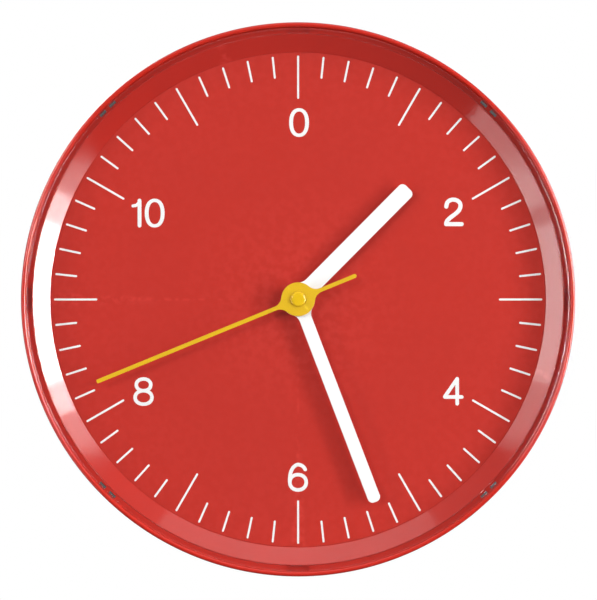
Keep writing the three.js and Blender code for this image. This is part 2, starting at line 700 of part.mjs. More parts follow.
const boardPostZ = insideBottom + BOARD_POST_RADIUS + PIVOT_INSET;
const boardPosts = BOARD_POST_PLACES.map((x) => {
  const place = new THREE.Vector2(x, boardPostZ);
  return rod(BOARD_POST_RADIUS, housingInside - ROOTED, boardFront - GAP, place, PIN_ROUND);
});

const outside = roundedRectangle(
  -housingHalfWidth, housingHalfWidth, housingBottom, housingTop, HOUSING_CORNER,
);
const insideCorner = HOUSING_CORNER - HOUSING_WALL;
const mechanismSpace = roundedRectangle(
  -insideHalfWidth, insideHalfWidth, insideBottom, insideTop, insideCorner,
);
const batterySpace = roundedRectangle(
  -insideHalfWidth, insideHalfWidth, batteryBottom, batteryTop, insideCorner,
);
const pivotSockets = [minuteWheelAxis, knobAxis].map((place) => {
  return rod(PIVOT_RADIUS + PIVOT_CLEARANCE, socketFront, housingInside + PAST, place, PIN_ROUND);
});
const contactInner = insideHalfWidth - CONTACT_SPACE / 2;
const contactSlots = [-1, 1].map((side) => {
  const ends = [side * (contactInner - 2 * GAP), side * (insideHalfWidth + GAP)];
  const [left, right] = ends.sort((a, b) => a - b);
  return block(
    left, right, batteryTop - PAST, insideBottom + PAST,
    contactTabBack - CONTACT_THICKNESS - GAP, coverBack + PAST,
  );
});
const fingerNotch = block(
  -FINGER_NOTCH_WIDTH / 2, FINGER_NOTCH_WIDTH / 2, housingBottom - PAST, batteryBottom + PAST,
  batteryAxisDepth, coverBack + PAST,
);
addPart("movement_housing", cut(
  join(
    cut(
      plate(outside, housingFront, coverBack, 4),
      plate(mechanismSpace, housingInside, coverBack + PAST, 4),
      plate(batterySpace, housingInside, coverBack + PAST, 4),
    ),
    ...pillars, ...boardPosts,
  ),
  rod(bushHole, housingFront - PAST, housingInside + PAST), ...pivotSockets, ...contactSlots, fingerNotch,
), BLACK, 0.5, 0);

const plateBottom = knobAxis.y + KNOB_SHAFT_RADIUS + WHEEL_GAP;
const boardTop = rotorAxis.y - MAGNET_RADIUS - STATOR_RIM;
const trainAxes = [thirdAxis, intermediateAxis, rotorAxis];

const middlePlateOutline = roundedRectangle(
  -insideHalfWidth + PLATE_INSET, insideHalfWidth - PLATE_INSET,
  plateBottom, insideTop - PLATE_INSET, PLATE_INSET,
);
middlePlateOutline.holes.push(
  circle(minuteTubeOuter + GAP),
  circle(PIVOT_RADIUS + PIVOT_CLEARANCE, minuteWheelAxis),
  ...trainAxes.map((place) => circle(PIVOT_RADIUS + PIVOT_CLEARANCE, place)),
  ...pillarPlaces.map((place) => circle(post + GAP, place)),
);
addPart("middle_plate", plate(middlePlateOutline, plateFront, plateBack, 6), NATURAL_PLASTIC, 0.5, 0);

// The bridge ends above the circuit board and above the third pillar, which only reaches the middle plate.
const bridgeBottom = Math.max(boardTop + WHEEL_GAP, pillarPlaces[2].y + post + GAP);
const bridgeOutline = roundedRectangle(
  -insideHalfWidth + PLATE_INSET, insideHalfWidth - PLATE_INSET,
  bridgeBottom, insideTop - PLATE_INSET, PLATE_INSET,
);
bridgeOutline.holes.push(
  ...[handAxis, ...trainAxes].map((place) => circle(PIVOT_RADIUS + PIVOT_CLEARANCE, place)),
  ...pillarPlaces.slice(0, 2).map((place) => circle(pin + GAP, place)),
  circle(pin + GAP, pillarPlaces[3]),
);
addPart("train_bridge", plate(bridgeOutline, bridgeFront, bridgeBack, 6), NATURAL_PLASTIC, 0.5, 0);

const coverOutline = roundedRectangle(
  -insideHalfWidth + GAP, insideHalfWidth - GAP, insideBottom + GAP, insideTop - GAP, insideCorner,
);
coverOutline.holes.push(circle(KNOB_SHAFT_RADIUS + GAP, knobAxis));
addPart("movement_cover", plate(coverOutline, coverFront, coverBack, 6), BLACK, 0.5, 0);

// ---------- Gear train ----------

function gearOutline(gear, place, phase) {
  const pitch = (2 * Math.PI) / gear.teeth;
  const root = pitchRadius(gear) - DEDENDUM * gear.module;
  const tip = tipRadius(gear);
  const tooth = [
    [root, -TOOTH_ROOT_SHARE / 2],
    [tip, -TOOTH_TIP_SHARE / 2],
    [tip, TOOTH_TIP_SHARE / 2],
    [root, TOOTH_ROOT_SHARE / 2],
  ];
  const points = [];
  for (let i = 0; i < gear.teeth; i += 1) {
    for (const [radius, share] of tooth) {
      points.push(polar(radius, THREE.MathUtils.radToDeg(phase + (i + share) * pitch)).add(place));
    }
  }
  return new THREE.Shape(points);
}

// The phase of a mate that puts one of its gaps where the first gear has a tooth, across their centres.
function meshedPhase(phase, gear, degrees, mate) {
  const toothOffset = ((phase - radians(degrees)) * gear.teeth) / (2 * Math.PI);
  return radians(degrees) + Math.PI + ((0.5 - toothOffset) * 2 * Math.PI) / mate.teeth;
}

function toothed(gear, place, phase, front, back, bore = 0) {
  const outline = gearOutline(gear, place, phase);
  if (bore > 0) outline.holes.push(circle(bore, place));
  return plate(outline, front, back);
}

// A moulded wheel with its pinion and arbor in one piece. The pinion runs on into the wheel.
function compoundWheel(wheel, pinion, place, arborFront, arborBack) {
  const pinionEnd = (wheel.front + wheel.back) / 2;
  const [front, back] = pinion.front < wheel.front ? [pinion.front, pinionEnd] : [pinionEnd, pinion.back];
  return join(
    toothed(wheel.gear, place, wheel.phase, wheel.front, wheel.back),
    toothed(pinion.gear, place, pinion.phase, front, back),
    rod(PIVOT_RADIUS, arborFront, arborBack, place, PIN_ROUND),
  );
}

const thirdPinionPhase = meshedPhase(0, centreWheelGear, THIRD_DIRECTION, thirdPinionGear);
const secondPinionPhase = meshedPhase(0, thirdWheelGear, THIRD_DIRECTION + 180, secondPinionGear);
const intermediatePinionPhase = meshedPhase(
  0, secondWheelGear, INTERMEDIATE_DIRECTION, intermediatePinionGear,
);
const rotorPinionPhase = meshedPhase(0, intermediateWheelGear, ROTOR_DIRECTION, rotorPinionGear);
const minuteWheelPhase = meshedPhase(0, cannonPinionGear, MINUTE_WHEEL_DIRECTION, minuteWheelGear);
const hourWheelPhase = meshedPhase(0, minutePinionGear, MINUTE_WHEEL_DIRECTION + 180, hourWheelGear);
const knobPinionPhase = meshedPhase(minuteWheelPhase, minuteWheelGear, KNOB_DIRECTION, knobPinionGear);

addPart("cannon_pinion", join(
  ring(minuteTubeInner, minuteTubeOuter, minuteTubeFront, centreWheelBack + PIVOT_INSET),
  toothed(
    cannonPinionGear, handAxis, 0,
    minuteWheelFront - PINION_OVERHANG, minuteWheelBack + PINION_OVERHANG, minuteTubeInner + PRESS_GAP,
  ),
), BRASS, 0.4, 1);
addPart("centre_wheel", toothed(
  centreWheelGear, handAxis, 0, centreWheelFront, centreWheelBack, minuteTubeOuter + PRESS_GAP,
), NATURAL_PLASTIC, 0.45, 0);
addPart("hour_wheel", join(
  ring(hourTubeInner, hourTubeOuter, hourTubeFront, hourWheelBack),
  toothed(
    hourWheelGear, handAxis, hourWheelPhase, hourWheelFront, hourWheelBack, hourTubeInner + PRESS_GAP,
  ),
), NATURAL_PLASTIC, 0.45, 0);
addPart("minute_wheel", compoundWheel(
  { gear: minuteWheelGear, phase: minuteWheelPhase, front: minuteWheelFront, back: minuteWheelBack },
  { gear: minutePinionGear, phase: 0, front: hourWheelFront - PINION_OVERHANG },
  minuteWheelAxis, socketFront + GAP, plateBack - PIVOT_INSET,
), NATURAL_PLASTIC, 0.45, 0);
addPart("third_wheel", compoundWheel(
  { gear: thirdWheelGear, phase: 0, front: thirdWheelFront, back: thirdWheelBack },
  { gear: thirdPinionGear, phase: thirdPinionPhase, front: centreWheelFront - PINION_OVERHANG },
  thirdAxis, pivotFront, pivotBack,
), NATURAL_PLASTIC, 0.45, 0);
addPart("second_wheel", compoundWheel(
  { gear: secondWheelGear, phase: 0, front: secondWheelFront, back: secondWheelBack },
  { gear: secondPinionGear, phase: secondPinionPhase, front: thirdWheelFront - PINION_OVERHANG },
  handAxis, secondHandFront, pivotBack,
), NATURAL_PLASTIC, 0.45, 0);
addPart("intermediate_wheel", compoundWheel(
  { gear: intermediateWheelGear, phase: 0, front: intermediateWheelFront, back: intermediateWheelBack },
  {
    gear: intermediatePinionGear, phase: intermediatePinionPhase, front: secondWheelFront - PINION_OVERHANG,
  },
  intermediateAxis, pivotFront, pivotBack,
), NATURAL_PLASTIC, 0.45, 0);

addPart("setting_knob", join(
  rod(PIVOT_RADIUS, socketFront + GAP, minuteWheelFront, knobAxis, PIN_ROUND),
  toothed(
    knobPinionGear, knobAxis, knobPinionPhase,
    minuteWheelFront - PINION_OVERHANG, minuteWheelBack + PINION_OVERHANG,
  ),
  rod(KNOB_SHAFT_RADIUS, minuteWheelBack - PINION_OVERHANG, knobFront + ROOTED, knobAxis),
  rod(KNOB_RADIUS, knobFront, knobBack, knobAxis),
), BLACK, 0.5, 0);

// ---------- Stepping motor ----------

const statorMiddle = (statorFront + statorBack) / 2;
const magnetFront = statorMiddle - MAGNET_LENGTH / 2;
const magnetBack = statorMiddle + MAGNET_LENGTH / 2;
addPart("rotor_magnet", ring(MAGNET_BORE, MAGNET_RADIUS, magnetFront, magnetBack)
  .translate(rotorAxis.x, 0, rotorAxis.y), STEEL, 0.4, 0.6);
addPart("rotor_pinion", join(
  toothed(
    rotorPinionGear, rotorAxis, rotorPinionPhase,
    intermediateWheelFront - PINION_OVERHANG, intermediateWheelBack + PINION_OVERHANG,
  ),
  rod(PIVOT_RADIUS, pivotFront, pivotBack, rotorAxis, PIN_ROUND),
), NATURAL_PLASTIC, 0.45, 0);

// The stator holds the rotor between its poles, and its two legs reach the ends of the coil core.
const coilRight = insideHalfWidth - PLATE_INSET - STATOR_LEG - WHEEL_GAP;
const coilLeft = coilRight - COIL_LENGTH;
const legRight = coilRight + WHEEL_GAP;
const legLeft = coilLeft - WHEEL_GAP;
const legBottom = coilZ - CORE_WIDTH;
const legTop = coilZ + COIL_FLANGE_RADIUS + WHEEL_GAP;
const statorOutline = new THREE.Shape([
  new THREE.Vector2(legRight, legBottom),
  new THREE.Vector2(legRight + STATOR_LEG, legBottom),
  new THREE.Vector2(legRight + STATOR_LEG, legTop + STATOR_LEG),
  new THREE.Vector2(rotorAxis.x + poleHalf, rotorAxis.y),
  new THREE.Vector2(rotorAxis.x + poleHalf - STATOR_RIM, rotorAxis.y + poleHalf),
  new THREE.Vector2(rotorAxis.x - poleHalf + STATOR_RIM, rotorAxis.y + poleHalf),
  new THREE.Vector2(rotorAxis.x - poleHalf, rotorAxis.y),
  new THREE.Vector2(legLeft - STATOR_LEG, legTop),
  new THREE.Vector2(legLeft - STATOR_LEG, legBottom),
  new THREE.Vector2(legLeft, legBottom),
  new THREE.Vector2(legLeft, legTop),
  new THREE.Vector2(rotorAxis.x - poleHalf + STATOR_RIM, rotorAxis.y - poleHalf),
  new THREE.Vector2(rotorAxis.x + poleHalf - STATOR_RIM, rotorAxis.y - poleHalf),
  new THREE.Vector2(legRight, legTop),
]);
statorOutline.holes.push(circle(MAGNET_RADIUS + STATOR_GAP, rotorAxis));
addPart("stator", plate(statorOutline, statorFront, statorBack), STEEL, 0.5, 1);

addPart("coil_core", block(
  legLeft - STATOR_LEG, legRight + STATOR_LEG, coilZ - CORE_WIDTH / 2, coilZ + CORE_WIDTH / 2,
  coreFront, coreFront + PLATE_THICKNESS,
), STEEL, 0.5, 1);

// A ring about the coil's own axis, which runs along X.
function coilRing(profile) {
  return turned(profile, SMALL_ROUND).rotateZ(-Math.PI / 2).translate(0, coreMiddle, coilZ);
}

const [tubeInner, tubeOuter] = COIL_TUBE_RADII;
addPart("coil_bobbin", coilRing([
  [tubeInner, coilLeft],
  [COIL_FLANGE_RADIUS, coilLeft],
  [COIL_FLANGE_RADIUS, coilLeft + COIL_FLANGE],
  [tubeOuter, coilLeft + COIL_FLANGE],
  [tubeOuter, coilRight - COIL_FLANGE],
  [COIL_FLANGE_RADIUS, coilRight - COIL_FLANGE],
  [COIL_FLANGE_RADIUS, coilRight],
  [tubeInner, coilRight],
]), NATURAL_PLASTIC, 0.5, 0);
const windingLeft = coilLeft + COIL_FLANGE + GAP;
const windingRight = coilRight - COIL_FLANGE - GAP;
addPart("coil_winding", coilRing([
  [tubeOuter + GAP, windingLeft],
  [COIL_WINDING_RADIUS, windingLeft],
  [COIL_WINDING_RADIUS, windingRight],
  [tubeOuter + GAP, windingRight],
]), COPPER, 0.35, 0.8);

// ---------- Circuit ----------

const boardRight = contactInner - WHEEL_GAP;
const boardBottom = insideBottom + WHEEL_GAP;
addPart("circuit_board", plate(
  roundedRectangle(-BOARD_LEFT, boardRight, boardBottom, boardTop, PLATE_INSET), boardFront, boardBack, 3,
), BOARD_GREEN, 0.5, 0);
const crystalZ = coilZ + COIL_FLANGE_RADIUS + COIL_MARGIN + CRYSTAL_RADIUS;
const crystal = new THREE.CylinderGeometry(CRYSTAL_RADIUS, CRYSTAL_RADIUS, CRYSTAL_LENGTH, PIN_ROUND)
  .rotateZ(Math.PI / 2)
  .translate(rotorAxis.x, boardFront - GAP - CRYSTAL_RADIUS, crystalZ);
addPart("quartz_crystal", crystal, STEEL, 0.25, 1);
const chipLeft = -BOARD_LEFT + WHEEL_GAP;
addPart("control_chip", block(
  chipLeft, chipLeft + CHIP_SIZE, coilZ - CHIP_SIZE / 2, coilZ + CHIP_SIZE / 2,
  boardFront - GAP - CHIP_THICKNESS, boardFront - GAP,
), BLACK, 0.6, 0);

// ---------- Battery and its contacts ----------

const batteryEnd = BATTERY_LENGTH / 2;
addPart("battery_cell", turned([
  [0, -batteryEnd],
  [BATTERY_RADIUS, -batteryEnd],
  [BATTERY_RADIUS, batteryEnd - BATTERY_NUB_LENGTH],
  [BATTERY_NUB_RADIUS, batteryEnd - BATTERY_NUB_LENGTH],
  [BATTERY_NUB_RADIUS, batteryEnd],
  [0, batteryEnd],
], SMALL_ROUND).rotateZ(-Math.PI / 2).translate(0, batteryAxisDepth, batteryZ), CELL_GREY, 0.3, 0.7);

// Each contact is a leaf at one end of the cell, with a dimple towards it and a strip up to the board.
function contactAt(side, tabEnd) {
  const slab = (from, to, bottom, top, front, back) => {
    const [left, right] = [side * from, side * to].sort((a, b) => a - b);
    return block(left, right, bottom, top, front, back);
  };
  const outer = contactInner + CONTACT_THICKNESS;
  const tabFront = contactTabBack - CONTACT_THICKNESS;
  const tabBottom = insideBottom + GAP;
  return join(
    slab(
      contactInner, outer, batteryZ - CONTACT_WIDTH / 2, tabBottom + CONTACT_TAB,
      tabFront, contactTabBack,
    ),
    slab(
      contactInner, outer, batteryZ - CONTACT_WIDTH / 2, batteryZ + CONTACT_WIDTH / 2,
      batteryAxisDepth - CONTACT_WIDTH / 2, contactTabBack,
    ),
    slab(
      batteryEnd + GAP, contactInner + CONTACT_THICKNESS / 2,
      batteryZ - CONTACT_TAB, batteryZ + CONTACT_TAB,
      batteryAxisDepth - CONTACT_TAB, batteryAxisDepth + CONTACT_TAB,
    ),
    slab(tabEnd, outer, tabBottom, tabBottom + CONTACT_TAB, tabFront, contactTabBack),
  );
}

addPart("positive_contact", contactAt(1, coilRight + GAP), STEEL, 0.3, 1);
addPart("negative_contact", contactAt(-1, BOARD_LEFT - 2 * CONTACT_TAB), STEEL, 0.3, 1);

// ---------- Place the clock about its origin ----------

clock.position.y = -caseDepth / 2;
const model = new THREE.Group();
model.add(clock);

export default model;
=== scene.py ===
import math

import bmesh
import bpy
from mathutils import Matrix, Vector


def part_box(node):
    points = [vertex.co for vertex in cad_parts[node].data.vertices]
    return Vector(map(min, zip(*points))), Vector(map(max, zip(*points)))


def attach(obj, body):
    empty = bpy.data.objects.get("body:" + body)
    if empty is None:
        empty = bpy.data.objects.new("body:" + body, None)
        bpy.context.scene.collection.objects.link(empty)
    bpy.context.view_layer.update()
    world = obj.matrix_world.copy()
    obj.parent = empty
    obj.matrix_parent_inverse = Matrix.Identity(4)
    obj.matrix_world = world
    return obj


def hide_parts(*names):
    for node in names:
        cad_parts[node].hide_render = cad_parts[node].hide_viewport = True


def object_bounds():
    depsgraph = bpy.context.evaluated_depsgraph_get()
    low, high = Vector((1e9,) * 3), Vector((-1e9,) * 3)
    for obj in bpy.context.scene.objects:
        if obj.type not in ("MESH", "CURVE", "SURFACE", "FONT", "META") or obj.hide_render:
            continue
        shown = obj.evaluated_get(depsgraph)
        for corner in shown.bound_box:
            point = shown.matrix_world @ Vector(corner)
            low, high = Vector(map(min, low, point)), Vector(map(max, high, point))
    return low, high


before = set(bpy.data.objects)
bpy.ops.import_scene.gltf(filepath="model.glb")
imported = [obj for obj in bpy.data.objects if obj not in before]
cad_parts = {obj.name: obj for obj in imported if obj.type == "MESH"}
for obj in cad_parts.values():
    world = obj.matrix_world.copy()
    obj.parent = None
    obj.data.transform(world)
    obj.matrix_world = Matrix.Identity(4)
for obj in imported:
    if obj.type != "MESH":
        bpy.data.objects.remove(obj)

MM = 0.001
cad_low, cad_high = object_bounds()
case_front, case_back, case_radius = cad_low[1], cad_high[1], cad_high[0]


def depth(millimetres):
    """Where a depth behind the front edge of the case lies on the Y axis."""
    return case_front + millimetres * MM


# ---------- Camera ----------
# It looks at the clock almost square on from three metres, six centimetres below the middle of the
# dial. The long focal length keeps the rings round, and the upward tilt is about one degree.

lens_view = bpy.data.cameras.new("camera")
lens_view.sensor_fit = "HORIZONTAL"
lens_view.sensor_width = 36
lens_view.lens = 378.7
camera = bpy.data.objects.new("camera", lens_view)
bpy.context.scene.collection.objects.link(camera)
camera.location = (0.0065, case_front - 3.0, -0.0576)
aim = Vector((0.000205, case_front, -0.000444)) - camera.location
camera.rotation_euler = aim.to_track_quat("-Z", "Y").to_euler()
bpy.context.scene.camera = camera
bpy.context.scene.view_settings.view_transform = "Standard"


# ---------- Studio light and floor ----------
# Tall softboxes stand well to the right and left, so that the flat lens stays clear and the sloping ring
# mirrors a bright band on each side. Panels in front light the dial, and two behind light the back.


def put(tree, kind, settings=None, **inputs):
    """A node with its settings, and its inputs fed by sockets or values. A key i2 is input 2."""
    node = tree.nodes.new(kind)
    for key, value in (settings or {}).items():
        setattr(node, key, value)
    for key, value in inputs.items():
        name = key.replace("_", " ")
        socket = node.inputs[int(key[1:])] if key[0] == "i" and key[1:].isdigit() else node.inputs[name]
        if isinstance(value, bpy.types.NodeSocket):
            tree.links.new(value, socket)
        else:
            socket.default_value = value
    return node


def new_material(name):
    """A material with its node tree and its Principled shader."""
    material = bpy.data.materials.new(name)
    material.use_nodes = True
    return material, material.node_tree, material.node_tree.nodes["Principled BSDF"]


for name, place, width, height, watts, lights_matt_faces in (
    ("key_panel", (1.60, -0.75, 0.06), 0.30, 1.0, 33, False),
    ("low_panel_left", (-1.57, -0.87, -0.98), 0.8, 0.8, 6, False),
    ("key_edge", (1.64, -0.77, 0.06), 0.34, 1.5, 19, True),
    ("key_halo", (1.78, -0.83, 0.12), 0.45, 2.8, 21, True),
    ("left_panel", (-1.60, -0.75, 0.06), 0.34, 1.0, 4.2, True),
    ("left_halo", (-1.78, -0.83, 0.0), 0.4, 2.6, 11, True),
    ("top_panel", (0.0, -0.88, 1.9), 2.2, 0.5, 4.5, True),
    ("front_panel_right", (1.5, -1.9, 0.5), 0.8, 0.8, 24, True),
    ("front_panel_left", (-1.4, -2.0, 0.6), 0.8, 0.8, 24, True),
    ("rear_panel_left", (-1.5, 2.0, 1.3), 1.3, 1.3, 45, True),
    ("rear_panel_right", (1.9, 1.7, 0.4), 1.0, 1.4, 22, True),
):
    panel = bpy.data.lights.new(name, "AREA")
    panel.shape = "RECTANGLE"
    panel.size, panel.size_y, panel.energy = width, height, watts
    lamp = bpy.data.objects.new(name, panel)
    bpy.context.scene.collection.objects.link(lamp)
    lamp.location = place
    lamp.rotation_euler = (-lamp.location).to_track_quat("-Z", "Y").to_euler()
    lamp.visible_diffuse = lights_matt_faces

# The backdrop is white to the camera. Other rays meet a dim room that grows brighter overhead.
world = bpy.data.worlds.new("studio")
bpy.context.scene.world = world
world.use_nodes = True
sky = world.node_tree
sky.nodes.clear()
sky_height = put(
    sky, "ShaderNodeSeparateXYZ", i0=put(sky, "ShaderNodeTexCoord").outputs["Generated"]
).outputs["Z"]
sky_rise = put(
    sky, "ShaderNodeMapRange", Value=sky_height, From_Min=0.05, From_Max=0.9, To_Min=0.1, To_Max=0.6
)
room = put(sky, "ShaderNodeBackground", Color=(1, 1, 1, 1), Strength=sky_rise.outputs["Result"])
backdrop = put(sky, "ShaderNodeBackground", Color=(1, 1, 1, 1))
sky_mix = put(
    sky, "ShaderNodeMixShader", i0=put(sky, "ShaderNodeLightPath").outputs["Is Camera Ray"],
    i1=room.outputs[0], i2=backdrop.outputs[0],
)
put(sky, "ShaderNodeOutputWorld", Surface=sky_mix.outputs[0])

FLOOR_REACH, FLOOR_Z = 2.5, -1.2
floor_mesh = bpy.data.meshes.new("floor")
floor_mesh.from_pydata(
    [(x * FLOOR_REACH, y * FLOOR_REACH, FLOOR_Z) for x, y in ((-1, -1), (1, -1), (1, 1), (-1, 1))],
    [], [(0, 1, 2, 3)],
)
floor = bpy.data.objects.new("floor", floor_mesh)
bpy.context.scene.collection.objects.link(floor)
floor_paint, _, floor_shader = new_material("floor_paint")
floor_shader.inputs["Base Color"].default_value = (0.86, 0.86, 0.85, 1)
floor_shader.inputs["Roughness"].default_value = 0.7
floor_mesh.materials.append(floor_paint)
floor.visible_glossy = False
floor.visible_diffuse = False


# ---------- Case ----------
# One moulding in glossy red ABS: a rounded lip, an outer wall, a ledge for the lens, the slope down to
# the dial and the floor that the dial lies on. Behind the floor are eight ribs, a ring rib, a frame
# round the movement and two screw bosses, and windows in the ledge take the lens clips.

SURFACE_SOCKETS = {"float": "NodeSocketFloat", "int": "NodeSocketInt", "material": "NodeSocketMaterial"}


def geometry_tree(name, sizes):
    """A geometry tree with a geometry in and out and a named input for each size."""
    tree = bpy.data.node_groups.new(name, "GeometryNodeTree")
    tree.interface.new_socket(name="Geometry", in_out="INPUT", socket_type="NodeSocketGeometry")
    for label, kind in sizes.items():
        tree.interface.new_socket(name=label, in_out="INPUT", socket_type=SURFACE_SOCKETS[kind])
    tree.interface.new_socket(name="Geometry", in_out="OUTPUT", socket_type="NodeSocketGeometry")
    return tree, tree.nodes.new("NodeGroupInput"), tree.nodes.new("NodeGroupOutput")


def math_node(tree, operation, first, second=0.0):
    """The result of a Math node on two sockets or numbers."""
    return put(tree, "ShaderNodeMath", {"operation": operation}, i0=first, i1=second).outputs[0]


def finish_tree(tree, geometry, source, target):
    """Ends a geometry tree: real geometry, in the material that comes in."""
    realized = put(tree, "GeometryNodeRealizeInstances", Geometry=geometry)
    painted = put(
        tree, "GeometryNodeSetMaterial", Geometry=realized.outputs[0], Material=source.outputs["Material"]
    )
    tree.links.new(painted.outputs[0], target.inputs[0])


def grown(mesh, tree, values):
    """The plain mesh that a geometry tree makes of a mesh with these sizes."""
    seed = bpy.data.objects.new("seed", mesh)
    bpy.context.scene.collection.objects.link(seed)
    modifier = seed.modifiers.new("tree", "NODES")
    modifier.node_group = tree
    names = {item.name: item.identifier for item in tree.interface.items_tree if item.in_out == "INPUT"}
    for label, value in values.items():
        modifier[names[label]] = value
    result = bpy.data.meshes.new_from_object(seed.evaluated_get(bpy.context.evaluated_depsgraph_get()))
    bpy.data.objects.remove(seed)
    return result


# Turns a row of points about the Y axis into a closed skin.
turning, turning_in, turning_out = geometry_tree("Turned body", {"Segments": "int", "Material": "material"})
row_count = put(turning, "GeometryNodeAttributeDomainSize", Geometry=turning_in.outputs["Geometry"])
across_count = math_node(turning, "ADD", turning_in.outputs["Segments"], 1.0)
sheet = put(
    turning, "GeometryNodeMeshGrid", Vertices_X=row_count.outputs["Point Count"], Vertices_Y=across_count,
)
number = put(turning, "GeometryNodeInputIndex").outputs[0]
row_share = math_node(turning, "DIVIDE", math_node(turning, "ADD", number, 0.5), across_count)
row = math_node(turning, "FLOOR", row_share)
column = math_node(turning, "SUBTRACT", number, math_node(turning, "MULTIPLY", row, across_count))
on_row = put(
    turning, "GeometryNodeSampleIndex", {"data_type": "FLOAT_VECTOR", "domain": "POINT"},
    Geometry=turning_in.outputs["Geometry"], Index=row,
)
turning.links.new(put(turning, "GeometryNodeInputPosition").outputs[0], on_row.inputs["Value"])
step = math_node(turning, "DIVIDE", 2 * math.pi, turning_in.outputs["Segments"])
turn = put(
    turning, "ShaderNodeVectorRotate", {"rotation_type": "Y_AXIS"},
    Vector=on_row.outputs[0], Angle=math_node(turning, "MULTIPLY", column, step),
)
laid = put(turning, "GeometryNodeSetPosition", Geometry=sheet.outputs["Mesh"], Position=turn.outputs[0])
sewn = put(turning, "GeometryNodeMergeByDistance", Geometry=laid.outputs[0], Distance=1e-6)
finish_tree(turning, sewn.outputs[0], turning_in, turning_out)

# Copies a shape round the Y axis at equal angles, as seen clockwise from the front.
circling, circling_in, circling_out = geometry_tree(
    "Copies round an axis", {"Count": "int", "First angle": "float", "Material": "material"}
)
places = put(circling, "GeometryNodePoints", Count=circling_in.outputs["Count"])
pitch_angle = math_node(circling, "DIVIDE", 2 * math.pi, circling_in.outputs["Count"])
place_number = put(circling, "GeometryNodeInputIndex").outputs[0]
clockwise = math_node(
    circling, "ADD", circling_in.outputs["First angle"],
    math_node(circling, "MULTIPLY", place_number, pitch_angle),
)
facing = put(circling, "ShaderNodeCombineXYZ", Y=clockwise)
copies = put(
    circling, "GeometryNodeInstanceOnPoints", Points=places.outputs[0],
    Instance=circling_in.outputs["Geometry"], Rotation=facing.outputs[0],
)
finish_tree(circling, copies.outputs[0], circling_in, circling_out)


def baked(shape):
    """A mesh from a working shape, which is freed."""
    mesh = bpy.data.meshes.new("shape")
    shape.to_mesh(mesh)
    shape.free()
    return mesh


def closed(mesh):
    """The mesh with its doubles merged and its faces turned outwards."""
    shape = bmesh.new()
    shape.from_mesh(mesh)
    bmesh.ops.remove_doubles(shape, verts=shape.verts, dist=1e-7)
    bmesh.ops.dissolve_degenerate(shape, edges=shape.edges, dist=1e-8)
    bmesh.ops.recalc_face_normals(shape, faces=shape.faces)
    shape.to_mesh(mesh)
    shape.free()
    return mesh


def turned(profile, material, segments=360, centre=(0.0, 0.0)):
    """A closed body turned from [radius, Y] points in metres, about an axis along Y at centre."""
    points = bpy.data.meshes.new("profile")
    points.from_pydata([(radius, y, 0.0) for radius, y in profile], [], [])
    mesh = closed(grown(points, turning, {"Segments": segments, "Material": material}))
    mesh.transform(Matrix.Translation((centre[0], 0.0, centre[1])))
    return mesh


def round_axis(mesh, count, first_degrees, material):
    """Copies of a mesh at equal angles round the Y axis."""
    values = {"Count": count, "First angle": math.radians(first_degrees), "Material": material}
    return grown(mesh, circling, values)


def arc(centre_r, centre_y, radius, start, end, steps=6):
    """Points on an arc of a profile, from a start to an end angle in degrees."""
    angles = [math.radians(start + (end - start) * i / steps) for i in range(steps + 1)]
    return [(centre_r + radius * math.cos(a), centre_y + radius * math.sin(a)) for a in angles]


def box_mesh(low, high, round_by=0.0):
    """A block between two corners, its edges rounded."""
    shape = bmesh.new()
    bmesh.ops.create_cube(shape, size=1.0)
    low, high = Vector(low), Vector(high)
    for vertex in shape.verts:
        vertex.co = Vector((low[i] + (vertex.co[i] + 0.5) * (high[i] - low[i]) for i in range(3)))
    if round_by:
        bmesh.ops.bevel(
            shape, geom=shape.edges[:], offset=round_by, segments=2, profile=0.5, affect="EDGES"
        )
    return baked(shape)


def extruded(side, left, right, soften=None):
    """A bar along Z from [radius, depth] points in millimetres, with an edge treatment of its own."""
    shape = bmesh.new()
    face = shape.faces.new([shape.verts.new((r * MM, depth(d), left * MM)) for r, d in side])
    pushed = bmesh.ops.extrude_face_region(shape, geom=[face])["geom"]
    moved = [item for item in pushed if isinstance(item, bmesh.types.BMVert)]
    bmesh.ops.translate(shape, vec=(0, 0, (right - left) * MM), verts=moved)
    if soften:
        soften(shape)
    bmesh.ops.recalc_face_normals(shape, faces=shape.faces)
    return baked(shape)


def joined(meshes):
    """One mesh that holds several."""
    shape = bmesh.new()
    for mesh in meshes:
        shape.from_mesh(mesh)
    whole = baked(shape)
    whole.polygons.foreach_set("material_index", [0] * len(whole.polygons))
    return whole


def combined(mesh, tools, operation):
    """A mesh cut by, or fused with, others."""
    body = bpy.data.objects.new("body", mesh)
    tool = bpy.data.objects.new("tool", joined(tools))
    for thing in (body, tool):
        bpy.context.scene.collection.objects.link(thing)
    change = body.modifiers.new("change", "BOOLEAN")
    change.operation, change.solver, change.object = operation, "EXACT", tool
    change.use_self = operation == "UNION"
    result = bpy.data.meshes.new_from_object(body.evaluated_get(bpy.context.evaluated_depsgraph_get()))
    bpy.data.objects.remove(body)
    bpy.data.objects.remove(tool)
    return result


def piece(name, mesh, material, body, nodes=(), smooth_below=32.0):
    """A finished piece, smooth but for its corners, that rides on a body and stands for CAD nodes."""
    mesh.name = name
    mesh.materials.clear()
    mesh.materials.append(material)
    mesh.polygons.foreach_set("material_index", [0] * len(mesh.polygons))
    mesh.shade_smooth()
    mesh.set_sharp_from_angle(angle=math.radians(smooth_below))
    thing = bpy.data.objects.new(name, mesh)
    bpy.context.scene.collection.objects.link(thing)
    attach(thing, body)
    if nodes:
        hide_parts(*nodes)
    return thing


